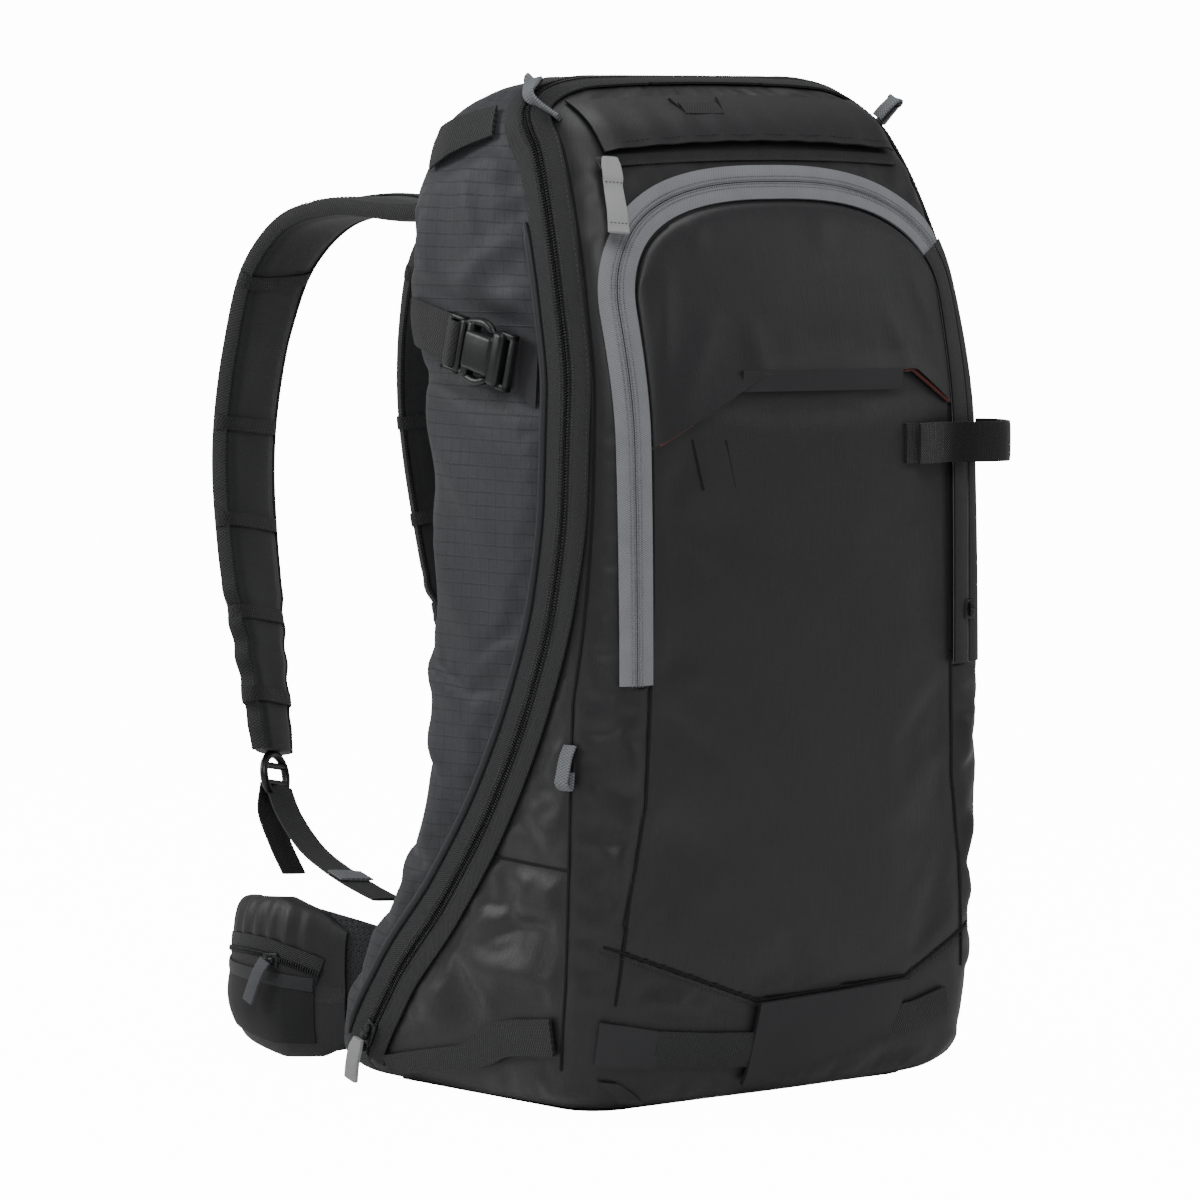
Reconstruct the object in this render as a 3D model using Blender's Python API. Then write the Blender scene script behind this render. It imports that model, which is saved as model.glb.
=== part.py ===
"""Avalanche airbag backpack: a two-cup bag that opens along its main zip, with harness and airbag unit.

Metres, +Z up. The bag stands on its base. Its front faces -Y, the wearer's side is +Y and the
wearer's left is -X. The origin is the middle of the base panel's underside.
"""
import math

import bmesh
import bpy
import numpy as np
from mathutils import Matrix, Vector

# ---------------------------------------------------------------- driving dimensions
BASE_PANEL_THICKNESS = 0.0017
FABRIC_GAP = 0.0003            # gap between two pieces that touch
TRIM_LIFT = 0.0010             # stand-off of trim sewn on curved fabric

BAG_HEIGHT = 0.550
BAG_HALF_WIDTH = 0.1435
BAG_FRONT_DEPTH = 0.121        # from the origin's plane to the front
BAG_BACK_DEPTH = 0.125         # from the origin's plane to the lumbar end
LEVEL_STEP = 0.0238              # height between the levels that the skin is drawn through
BAG_WALL = 0.0025              # shell cloth, foam and lining together
FRONT_CORNER = 0.022           # corner radii seen from above
BACK_CORNER = 0.030
TOP_ROUND = 0.030              # edge radii seen from the side
BASE_ROUND = 0.020
FRONT_CROWN = 0.010
SIDE_CROWN = 0.004

ZIP_TAPE_WIDTH = 0.015         # one half of the main zip
ZIP_TAPE_THICKNESS = 0.0012
ZIP_END_HEIGHT = 0.012
ZIP_GAP = 0.0010               # between the two halves of a zip

POCKET_SIDE_MARGIN = 0.0245      # bag's widest side to the pocket zip
POCKET_TOP_MARGIN = 0.053        # bag's top to the crown of the pocket zip
POCKET_HALF_WIDTH = BAG_HALF_WIDTH - POCKET_SIDE_MARGIN
POCKET_FOLD_HEIGHT = 0.232
POCKET_RISE = 0.072
POCKET_SPRING_HEIGHT = BAG_HEIGHT - POCKET_TOP_MARGIN - POCKET_RISE
POCKET_TAPE_WIDTH = 0.010
POCKET_DEPTH = 0.024
KEEPER_REACH = BAG_HALF_WIDTH - 0.0075     # where the axe keeper's strap is sewn
KEEPER_WIDTH = 0.022
KEEPER_DROP = 0.070              # from the pocket's spring line down to the keeper's middle

FLAP_THICKNESS = 0.0022
FLAP_HALF_WIDTH = BAG_HALF_WIDTH - 0.0395
FLAP_DROP = 0.0375               # bag's top down to the flap's lower edge at its ends
FLAP_HEIGHT = 0.0205
GOGGLE_ZIP_DROP = 0.044
GOGGLE_PULL_LENGTH = 0.046
ZIP_ARC_RADIUS = 0.62            # the small top zip, seen from above
WEBBING = 0.025
NARROW_WEBBING = 0.020
WEBBING_THICKNESS = 0.0016
PIPING_RADIUS = 0.0022

BUCKLE_LENGTH = 0.036
BUCKLE_WIDTH = 0.031
BUCKLE_THICKNESS = 0.0095
BUCKLE_WALL = 0.0022
BUCKLE_PLAY = 0.0006
BUCKLE_FROM_ZIP = 0.0193         # main zip's tape to the near end of a side buckle
COMPRESSION_FROM_BACK = 0.0145  # back wall to the sewn end of the side webbing
CORNER_WEBBING_FROM_ZIP = 0.0109
BUCKLE_DROP = 0.141            # bag's top down to the side buckles

BACK_FOAM_THICKNESS = 0.012
PANEL_ROW = 0.030              # steps in height that keep the foam, sheet and stay on the curved back
SHEET_ROW = 0.0253
STAY_ROW = 0.0225
LUMBAR_THICKNESS = 0.022
LUMBAR_TOP = 0.128
FRAME_SHEET_THICKNESS = 0.0016
STAY_RADIUS = 0.002
STAY_HALF_SPAN = 0.060
STAY_FOOT = 0.055
STAY_TOP = BAG_HEIGHT - 0.135

STRAP_ROOT_DROP = 0.066          # bag's top down to the straps' roots
STRAP_WIDTH = 0.058
STRAP_ROOT_WIDTH = 0.050       # where a shoulder strap is sewn to the back
STRAP_ROOT_OFFSET = 0.052        # middle of the back to the middle of a strap's root
STRAP_THICKNESS = 0.012
LOCK_LENGTH = 0.024
HIP_WING_THICKNESS = 0.024
HIP_WING_TOP = 0.095

CYLINDER_RADIUS = 0.030
CYLINDER_LENGTH = 0.190
CYLINDER_WALL = 0.0025
VALVE_SIDE = 0.040
VALVE_HEIGHT = 0.052
CABLE_RADIUS = 0.0025
AIRBAG_SIZE = (2 * (BAG_HALF_WIDTH - 0.0485), 0.060, 0.100)
UNIT_DROP = 0.430                # bag's top down to the cylinder's foot
UNIT_SIDE_MARGIN = 0.0775        # bag's widest side to the cylinder's axis
UNIT_CLEARANCE = 0.016           # back wall's waist to the cylinder: frame sheet, stay and air

# Outline ratios: (share of the height, share of the driving dimension).
WIDTH_OUTLINE = [(0.0, 0.970), (0.11, 0.995), (0.27, 0.995), (0.49, 0.980), (0.65, 0.960),
                 (0.80, 0.925), (0.905, 0.870), (1.0, 0.790)]
FRONT_OUTLINE = [(0.0, 0.876), (0.145, 0.960), (0.45, 1.0), (0.65, 0.990), (0.80, 0.876),
                 (0.89, 0.727), (1.0, 0.413)]
BACK_OUTLINE = [(0.0, 1.0), (0.09, 0.84), (0.217, 0.464), (0.308, 0.304), (0.49, 0.272),
                (0.69, 0.384), (0.83, 0.56), (0.906, 0.512), (1.0, 0.288)]
# Main zip seen from the side: (share of the height, y as a share of the front depth).
ZIP_OUTLINE = [(-0.2, 0.66), (0.0, 0.66), (0.105, 0.38), (0.193, 0.01), (0.298, -0.347), (0.402, -0.587),
               (0.50, -0.727), (0.598, -0.779), (0.695, -0.774), (0.789, -0.689), (0.885, -0.532),
               (0.933, -0.42), (0.971, -0.27), (1.0, -0.23), (1.3, -0.21)]

FLOOR = BASE_PANEL_THICKNESS + FABRIC_GAP      # underside of the bag's own skin
HINGE_Y = ZIP_OUTLINE[1][1] * BAG_FRONT_DEPTH
FAR = 1.0                                      # reach of the cutting solids

for old in list(bpy.data.objects):
    bpy.data.objects.remove(old, do_unlink=True)


# ---------------------------------------------------------------- the bag's skin
def outline(share, knots):
    """Smooth monotone curve through the knots, read at each share of the height."""
    at = np.array([k[0] for k in knots])
    value = np.array([k[1] for k in knots])
    step = np.diff(at)
    rise = np.diff(value) / step
    slope = np.concatenate([[rise[0]], np.zeros(len(at) - 2), [rise[-1]]])
    for i in range(1, len(at) - 1):
        if rise[i - 1] * rise[i] > 0:
            before = 2 * step[i] + step[i - 1]
            after = step[i] + 2 * step[i - 1]
            slope[i] = (before + after) / (before / rise[i - 1] + after / rise[i])
    share = np.clip(share, at[0], at[-1])
    i = np.clip(np.searchsorted(at, share) - 1, 0, len(at) - 2)
    t = (share - at[i]) / step[i]
    ease = t * t * (3 - 2 * t)
    return (value[i] * (1 - ease) + value[i + 1] * ease
            + step[i] * t * (1 - t) * ((1 - t) * slope[i] - t * slope[i + 1]))


def round_over(distance, radius):
    """How far a rounded edge pulls the skin in at a distance from the end."""
    distance = np.clip(distance, 0, radius)
    return radius - np.sqrt(np.maximum(radius ** 2 - (radius - distance) ** 2, 0))


def walls(z, inset):
    """Half width, front y and back y of the bag at height z, drawn in by inset."""
    share = (z - FLOOR) / BAG_HEIGHT
    tuck = (round_over(FLOOR + BAG_HEIGHT - inset - z, TOP_ROUND - inset)
            + round_over(z - FLOOR - inset, BASE_ROUND - inset))
    half = BAG_HALF_WIDTH * outline(share, WIDTH_OUTLINE) - inset - tuck
    front = -BAG_FRONT_DEPTH * outline(share, FRONT_OUTLINE) + inset + tuck
    back = BAG_BACK_DEPTH * outline(share, BACK_OUTLINE) - inset - tuck
    return half, front, back


def skin_distance(points, inset=0.0):
    """Distance from the bag's skin, level by level: negative inside."""
    x, y, z = np.asarray(points, float).reshape(-1, 3).T
    half, front, back = walls(z, inset)
    middle = (front + back) / 2
    depth = (back - front) / 2
    toward = np.clip((y - middle) / depth, -1, 1)
    flat_y = y + FRONT_CROWN * np.clip(1 - (x / half) ** 2, 0, 1) * np.maximum(-toward, 0)
    flat_x = x / (1 + SIDE_CROWN / half * (1 - toward ** 2))
    radius = np.minimum(np.where(flat_y < middle, FRONT_CORNER, BACK_CORNER) - inset, depth * 0.98)
    over_x = np.abs(flat_x) - (half - radius)
    over_y = np.abs(flat_y - middle) - (depth - radius)
    side = np.hypot(np.maximum(over_x, 0), np.maximum(over_y, 0)) + np.minimum(np.maximum(over_x, over_y), 0)
    return np.maximum(side - radius, np.maximum(z - FLOOR - BAG_HEIGHT + inset, FLOOR + inset - z))


def skin_slope(points, inset=0.0):
    """Gradient of skin_distance at each point."""
    points = np.asarray(points, float).reshape(-1, 3)
    reach = 2e-4
    return np.stack([(skin_distance(points + reach * axis, inset) - skin_distance(points - reach * axis, inset))
                     / (2 * reach) for axis in np.eye(3)], -1)


def skin_normal(points, inset=0.0):
    """Outward unit normal of the skin near each point."""
    slope = skin_slope(points, inset)
    return slope / np.maximum(np.linalg.norm(slope, axis=1, keepdims=True), 1e-12)


def to_skin(points, inset=0.0, level=False):
    """Move points onto the skin; level keeps their height."""
    points = np.array(points, float).reshape(-1, 3)
    for _ in range(12):
        slope = skin_slope(points, inset)
        if level:
            slope[:, 2] = 0
        steep = np.maximum(np.sum(slope ** 2, axis=1), 1e-9)
        points -= slope * (skin_distance(points, inset) / steep)[:, None]
    return points


def reach_skin(start, direction, far=0.4):
    """Where rays from points inside the bag leave its skin."""
    start = np.asarray(start, float).reshape(-1, 3)
    direction = np.asarray(direction, float).reshape(-1, 3)
    near = np.zeros(len(start))
    away = np.full(len(start), far)
    for _ in range(40):
        middle = (near + away) / 2
        inside = skin_distance(start + direction * middle[:, None]) < 0
        near = np.where(inside, middle, near)
        away = np.where(inside, away, middle)
    return start + direction * near[:, None]


def on_front(x, z):
    x, z = np.broadcast_arrays(np.asarray(x, float), np.asarray(z, float))
    start = np.stack([x.ravel(), zip_y(z.ravel()) * 0.5 + bag_middle(z.ravel()) * 0.5, z.ravel()], -1)
    return reach_skin(start, np.tile([0.0, -1.0, 0.0], (x.size, 1)))


def on_back(x, z):
    x, z = np.broadcast_arrays(np.asarray(x, float), np.asarray(z, float))
    start = np.stack([x.ravel(), bag_middle(z.ravel()), z.ravel()], -1)
    return reach_skin(start, np.tile([0.0, 1.0, 0.0], (x.size, 1)))


def on_side(y, z, side):
    y, z = np.broadcast_arrays(np.asarray(y, float), np.asarray(z, float))
    start = np.stack([np.zeros(y.size), y.ravel(), z.ravel()], -1)
    return reach_skin(start, np.tile([float(side), 0.0, 0.0], (y.size, 1)))


def bag_middle(z):
    half, front, back = walls(np.asarray(z, float), 0.0)
    return (front + back) / 2


def zip_y(z):
    return BAG_FRONT_DEPTH * outline((np.asarray(z, float) - FLOOR) / BAG_HEIGHT, ZIP_OUTLINE)


def ring(z, inset):
    """One level of the skin: four corner arcs with bowed edges between them."""
    half, front, back = (float(v[0]) for v in walls(np.array([z]), inset))
    corner_steps = 4
    points = []
    corners = [(-1, front, FRONT_CORNER, math.pi), (1, front, FRONT_CORNER, 1.5 * math.pi),
               (1, back, BACK_CORNER, 0.0), (-1, back, BACK_CORNER, 0.5 * math.pi)]
    edge_steps = [6, 3, 4, 3]
    arcs = []
    for sign, edge, radius, start in corners:
        radius = min(radius - inset, (back - front) / 2 * 0.98)
        centre_y = edge + radius if edge == front else edge - radius
        angles = start + np.linspace(0, math.pi / 2, corner_steps + 1)
        arcs.append(np.stack([sign * (half - radius) + radius * np.cos(angles),
                              centre_y + radius * np.sin(angles)], -1))
    for k, arc in enumerate(arcs):
        points.extend(arc)
        after = arcs[(k + 1) % 4][0]
        for step in range(1, edge_steps[k]):
            points.append(arc[-1] + (after - arc[-1]) * step / edge_steps[k])
    level = np.column_stack([np.array(points), np.full(len(points), z)])
    return to_skin(level, inset, level=True)


def skin_loft(inset):
    """The whole bag as rings from the floor to the top, drawn in by inset."""
    low = FLOOR + inset
    high = FLOOR + BAG_HEIGHT - inset
    bottom = [low + (BASE_ROUND - inset) * (1 - math.cos(a)) for a in np.linspace(0, math.pi / 2, 5)]
    top = [high - (TOP_ROUND - inset) * (1 - math.cos(a)) for a in np.linspace(math.pi / 2, 0, 6)]
    between = np.linspace(bottom[-1], top[0], 1 + round((top[0] - bottom[-1]) / LEVEL_STEP))[1:-1]
    levels = np.concatenate([bottom, between, top])
    trim = 1e-6
    levels[0] += trim
    levels[-1] -= trim
    return loft([ring(z, inset) for z in levels])


# ---------------------------------------------------------------- mesh helpers
def loft(rings):
    """Closed solid through equal rings, with flat ends."""
    count = len(rings[0])
    verts = np.concatenate(rings)
    faces = [tuple(reversed(range(count)))]
    for i in range(len(rings) - 1):
        for j in range(count):
            k = (j + 1) % count
            faces.append((i * count + j, i * count + k, (i + 1) * count + k, (i + 1) * count + j))
    last = (len(rings) - 1) * count
    faces.append(tuple(range(last, last + count)))
    return verts, faces


def slab(outer, inner):
    """Closed solid between two equal grids of points."""
    rows, columns = outer.shape[:2]
    rings = [np.concatenate([outer[i], inner[i][::-1]]) for i in range(rows)]
    count = 2 * columns
    verts = np.concatenate(rings)
    faces = []
    for i in range(rows - 1):
        for j in range(count):
            k = (j + 1) % count
            faces.append((i * count + j, i * count + k, (i + 1) * count + k, (i + 1) * count + j))
    for i in (0, rows - 1):
        for j in range(columns - 1):
            faces.append((i * count + j, i * count + j + 1,
                          i * count + count - 2 - j, i * count + count - 1 - j))
    return verts, faces


def prism(outline_points, low, high, axis):
    """Extrude a flat outline of two coordinates along the remaining axis."""
    verts = []
    for value in (low, high):
        for a, b in outline_points:
            verts.append({"x": (value, a, b), "y": (a, value, b), "z": (a, b, value)}[axis])
    count = len(outline_points)
    faces = [tuple(range(count)), tuple(reversed(range(count, 2 * count)))]
    for i in range(count):
        j = (i + 1) % count
        faces.append((i, count + i, count + j, j))
    return np.array(verts, float), faces


def tube(points, radius, sides=8):
    """Round cord along points."""
    points = np.asarray(points, float)
    tangent = np.gradient(points, axis=0)
    tangent /= np.linalg.norm(tangent, axis=1, keepdims=True)
    across = np.cross(tangent[0], [0.3, 0.5, 0.81])
    rings = []
    for p, t in zip(points, tangent):
        across = across - t * np.dot(across, t)
        across /= np.linalg.norm(across)
        up = np.cross(t, across)
        angles = np.linspace(0, 2 * math.pi, sides, endpoint=False)
        rings.append(p + radius * (np.outer(np.cos(angles), across) + np.outer(np.sin(angles), up)))
    return loft(rings)


def band(points, across, width, thickness, crown=0.0, columns=3):
    """Flat strap along points; across is its width direction at each point."""
    points = np.asarray(points, float)
    across = np.asarray(across, float) * np.ones((len(points), 1))
    tangent = np.gradient(points, axis=0)
    tangent /= np.linalg.norm(tangent, axis=1, keepdims=True)
    across = across - tangent * np.sum(across * tangent, axis=1, keepdims=True)
    across /= np.linalg.norm(across, axis=1, keepdims=True)
    normal = np.cross(tangent, across)
    width = np.asarray(width, float) * np.ones(len(points))
    outer = []
    inner = []
    for share in np.linspace(-1, 1, columns):
        side = across * (width / 2 * share)[:, None]
        bulge = thickness / 2 + crown * (1 - share ** 2)
        outer.append(points + side + normal * bulge)
        inner.append(points + side - normal * bulge)
    return slab(np.stack(outer, 1), np.stack(inner, 1))


def strip(path, low, high, lift, thickness, columns=3):
    """Tape sewn on the bag along a path on its skin, between two sideways offsets."""
    path = np.asarray(path, float)
    tangent = np.gradient(path, axis=0)
    tangent /= np.linalg.norm(tangent, axis=1, keepdims=True)
    normal = skin_normal(path)
    across = np.cross(tangent, normal)
    across /= np.linalg.norm(across, axis=1, keepdims=True)
    outer = []
    inner = []
    for offset in np.linspace(low, high, columns):
        on_skin = to_skin(path + across * offset)
        away = skin_normal(on_skin)
        outer.append(on_skin + away * (lift + thickness))
        inner.append(on_skin + away * lift)
    return slab(np.stack(outer, 1), np.stack(inner, 1))


def panel(place, low, high, columns, rows, lift, thickness):
    """Panel sewn on the bag; place maps grid shares to skin points, low and high bound its z."""
    grid = []
    for share in np.linspace(0, 1, rows):
        x = columns
        z = low(x) + (high(x) - low(x)) * share
        grid.append(place(x, z))
    grid = np.stack(grid)
    away = skin_normal(grid.reshape(-1, 3)).reshape(grid.shape)
    return slab(grid + away * (lift + thickness), grid + away * lift)


def block(size, place, turn=Matrix.Identity(3)):
    """Box of the given size, turned, with its middle at place."""
    corners = [Vector((x * size[0] / 2, y * size[1] / 2, z * size[2] / 2))
               for z in (-1, 1) for y in (-1, 1) for x in (-1, 1)]
    verts = np.array([tuple(turn @ c + Vector(place)) for c in corners])
    faces = [(0, 2, 3, 1), (4, 5, 7, 6), (0, 1, 5, 4), (2, 6, 7, 3), (0, 4, 6, 2), (1, 3, 7, 5)]
    return verts, faces


def turned(profile, place, sides=24):
    """Solid of revolution about a vertical axis; profile runs from the bottom to the top as (r, z)."""
    angles = np.linspace(0, 2 * math.pi, sides, endpoint=False)
    rings = [np.stack([r * np.cos(angles), r * np.sin(angles), np.full(sides, z)], -1) + place
             for r, z in profile]
    return loft(rings)


def facing(normal, along):
    """Turn whose local x runs along the surface and whose local z is its normal."""
    z = Vector(normal).normalized()
    x = Vector(along)
    x = (x - z * x.dot(z)).normalized()
    y = z.cross(x)
    return Matrix((x, y, z)).transposed()


# ---------------------------------------------------------------- materials and objects
def material(name, colour, roughness, metallic=0.0):
    made = bpy.data.materials.new(name)
    made.use_nodes = True
    shader = made.node_tree.nodes["Principled BSDF"]
    channels = [int(colour[i:i + 2], 16) / 255 for i in (1, 3, 5)]
    linear = [c / 12.92 if c <= 0.04045 else ((c + 0.055) / 1.055) ** 2.4 for c in channels]
    shader.inputs["Base Color"].default_value = (*linear, 1.0)
    shader.inputs["Roughness"].default_value = roughness
    shader.inputs["Metallic"].default_value = metallic
    return made


FINISHES = {
    "black_nylon": ("#202224", 0.55, 0.0), "grey_ripstop": ("#34373C", 0.7, 0.0),
    "base_fabric": ("#1A1B1C", 0.6, 0.0), "black_zip": ("#1B1B1C", 0.6, 0.0),
    "grey_zip": ("#85888C", 0.6, 0.0), "black_webbing": ("#1E1F20", 0.75, 0.0),
    "grey_webbing": ("#7C7F82", 0.75, 0.0), "pull_fabric": ("#A9ABAE", 0.7, 0.0),
    "black_plastic": ("#1C1D1F", 0.4, 0.0), "black_foam": ("#242528", 0.9, 0.0),
    "frame_plastic": ("#D8D9D6", 0.5, 0.0), "aluminium": ("#B9BCC0", 0.35, 1.0),
    "steel": ("#8E9093", 0.35, 1.0), "airbag_nylon": ("#C7451E", 0.6, 0.0),
    "trigger_red": ("#A62A1E", 0.45, 0.0), "hook_tape": ("#18191A", 0.95, 0.0),
}

PIVOTS = {}
MADE = {}


def pivot(body, place):
    """An empty on a moving body's joint axis; the body's pieces hang from it."""
    empty = bpy.data.objects.new(body + "_axis", None)
    empty.location = place
    bpy.context.collection.objects.link(empty)
    PIVOTS[body] = (empty, np.array(place, float))


def add(name, shape, finish, body="root", smooth=False, guide=False):
    """Make one object from (verts, faces), hung from its body's pivot."""
    verts, faces = shape
    empty, place = PIVOTS.get(body, (None, np.zeros(3)))
    mesh = bpy.data.meshes.new(name)
    mesh.from_pydata([tuple(v) for v in np.asarray(verts, float) - place], [], faces)
    work = bmesh.new()
    work.from_mesh(mesh)
    bmesh.ops.recalc_face_normals(work, faces=work.faces)
    work.to_mesh(mesh)
    work.free()
    made = bpy.data.objects.new(name, mesh)
    bpy.context.collection.objects.link(made)
    made.parent = empty
    if guide:
        made.hide_render = True
        made.display_type = "WIRE"
    else:
        mesh.materials.append(material(name + "_" + finish, *FINISHES[finish]))
        MADE[name] = made
    if smooth:
        mesh.shade_smooth()
        mesh.set_sharp_from_angle(angle=math.radians(40))
    return made


def cut(target, tool, operation="DIFFERENCE"):
    change = target.modifiers.new(tool.name, "BOOLEAN")
    change.operation = operation
    change.object = tool
    change.solver = "EXACT"


def soften(target, width, segments=2):
    edge = target.modifiers.new("edge", "BEVEL")
    edge.width = width
    edge.segments = segments
    edge.limit_method = "ANGLE"
    edge.angle_limit = math.radians(40)


def arch(half_width, rise, spring, base, steps=22):
    """Pocket outline seen from the front: two legs and a flattened arch."""
    points = [(half_width, base), (half_width, (base + spring) / 2)]
    power = 2 / 2.6
    for a in np.linspace(0, math.pi, steps + 1):
        points.append((half_width * math.copysign(abs(math.cos(a)) ** power, math.cos(a)),
                       spring + rise * math.sin(a) ** power))
    points += [(-half_width, (base + spring) / 2), (-half_width, base)]
    return points


def arch_top(x, inset):
    """Height of the pocket outline over x, drawn in by inset."""
    half_width = POCKET_HALF_WIDTH - inset
    share = np.clip(np.abs(x) / half_width, 0, 1)
    return POCKET_SPRING_HEIGHT + (POCKET_RISE - inset) * (1 - share ** 2.6) ** (1 / 2.6)


def smooth_path(points, count):
    """Even steps along a Catmull-Rom curve through the points."""
    p = np.asarray(points, float)
    p = np.vstack([2 * p[0] - p[1], p, 2 * p[-1] - p[-2]])
    dense = []
    for i in range(1, len(p) - 2):
        for t in np.linspace(0, 1, 24, endpoint=False):
            dense.append(0.5 * (2 * p[i] + (p[i + 1] - p[i - 1]) * t
                                + (2 * p[i - 1] - 5 * p[i] + 4 * p[i + 1] - p[i + 2]) * t ** 2
                                + (3 * p[i] - p[i - 1] - 3 * p[i + 1] + p[i + 2]) * t ** 3))
    dense.append(p[-2])
    return even_steps(np.array(dense), count)


def even_steps(points, count):
    length = np.concatenate([[0], np.cumsum(np.linalg.norm(np.diff(points, axis=0), axis=1))])
    at = np.linspace(0, length[-1], count)
    return np.stack([np.interp(at, length, points[:, k]) for k in range(3)], -1)


def close_steps(points, count):
    """Steps along a path on the skin, closer together where the skin turns."""
    points = even_steps(points, 600)
    normal = skin_normal(points)
    turn = np.linalg.norm(np.diff(normal, axis=0), axis=1)
    length = np.linalg.norm(np.diff(points, axis=0), axis=1)
    effort = np.concatenate([[0], np.cumsum(length + 0.06 * turn)])
    at = np.linspace(0, effort[-1], count)
    return np.stack([np.interp(at, effort, points[:, k]) for k in range(3)], -1)


def mirrored(shape):
    verts, faces = shape
    return np.asarray(verts, float) * [-1, 1, 1], [tuple(reversed(f)) for f in faces]


# ---------------------------------------------------------------- joint axes
FRONT_MOST = -(BAG_FRONT_DEPTH + FRONT_CROWN + 0.004)
pivot("back_section", (0.0, HINGE_Y, FLOOR))
pivot("pocket_door", (0.0, FRONT_MOST, POCKET_FOLD_HEIGHT))


# ---------------------------------------------------------------- the two cups
def zip_edge(offset):
    """The main zip's side outline moved sideways by offset, as (y, z) points."""
    z = FLOOR + BAG_HEIGHT * np.concatenate([[-0.2], np.linspace(0.0, 1.0, 33), [1.2]])
    y = zip_y(z)
    run = np.stack([np.gradient(y), np.gradient(z)], -1)
    run /= np.linalg.norm(run, axis=1, keepdims=True)
    return [(y[i] + run[i, 1] * offset, z[i] - run[i, 0] * offset) for i in range(len(z))]


def bag_cups():
    hollow = add("bag_hollow", skin_loft(BAG_WALL), "black_nylon", guide=True)
    front_side = zip_edge(-FABRIC_GAP / 2)
    back_side = zip_edge(FABRIC_GAP / 2)
    front_cutter = add("front_cutter", prism([(-FAR, front_side[0][1])] + front_side
                                             + [(-FAR, front_side[-1][1])], -FAR, FAR, "x"), "", guide=True)
    back_cutter = add("back_cutter", prism([(FAR, back_side[0][1])] + back_side
                                           + [(FAR, back_side[-1][1])], -FAR, FAR, "x"), "", guide=True)
    mouth = add("pocket_mouth", prism(arch(POCKET_HALF_WIDTH + FABRIC_GAP / 2, POCKET_RISE + FABRIC_GAP / 2,
                                           POCKET_SPRING_HEIGHT, POCKET_FOLD_HEIGHT - FABRIC_GAP / 2),
                                      -FAR, -0.05, "y"), "", guide=True)
    leaf = add("pocket_leaf", prism(arch(POCKET_HALF_WIDTH - FABRIC_GAP / 2, POCKET_RISE - FABRIC_GAP / 2,
                                         POCKET_SPRING_HEIGHT, POCKET_FOLD_HEIGHT + FABRIC_GAP / 2),
                                    -FAR, -0.05, "y"), "", guide=True)
    front = add("front_shell", skin_loft(0.0), "black_nylon", smooth=True)
    cut(front, hollow)
    cut(front, front_cutter, "INTERSECT")
    cut(front, mouth)
    back = add("back_shell", skin_loft(0.0), "grey_ripstop", "back_section", smooth=True)
    cut(back, hollow)
    cut(back, back_cutter, "INTERSECT")
    door = add("pocket_door_panel", skin_loft(0.0), "black_nylon", "pocket_door", smooth=True)
    cut(door, hollow)
    cut(door, leaf, "INTERSECT")
    return back


def base_panel():
    """Tough flat panel under the front cup: the bag rests on it."""
    edge = ring(FLOOR + 1e-6, 0.0)[:, :2]
    keep = [tuple(p) for p in edge if p[1] < HINGE_Y - 0.004]
    order = sorted(keep, key=lambda p: math.atan2(p[1], p[0]))
    add("base_panel", prism(order, 0.0, BASE_PANEL_THICKNESS, "z"), "base_fabric")


def zip_path(count):
    """Centre line of the main zip on the skin, from the left end over the top to the right end."""
    centre_z = FLOOR + BAG_HEIGHT * 0.5
    angles = np.radians(np.linspace(-168, 168, 241))
    points = []
    for a in angles:
        low, high = 0.0, 0.6
        for _ in range(36):
            reach = (low + high) / 2
            x, z = math.sin(a) * reach, centre_z + math.cos(a) * reach
            inside = skin_distance([[x, float(zip_y(z)), z]])[0] < 0
            low, high = (reach, high) if inside else (low, reach)
        points.append((x, float(zip_y(z)), z))
    points = np.array([p for p in points if p[2] > FLOOR + ZIP_END_HEIGHT])
    return close_steps(points, count)


MAIN_ZIP = zip_path(72)


def main_zip():
    half_gap = ZIP_GAP / 2
    add("main_zip_tape_front", strip(MAIN_ZIP, half_gap, ZIP_TAPE_WIDTH, TRIM_LIFT, ZIP_TAPE_THICKNESS),
        "black_zip")
    add("main_zip_tape_back", strip(MAIN_ZIP, -ZIP_TAPE_WIDTH, -half_gap, TRIM_LIFT, ZIP_TAPE_THICKNESS),
        "black_zip", "back_section")


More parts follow.
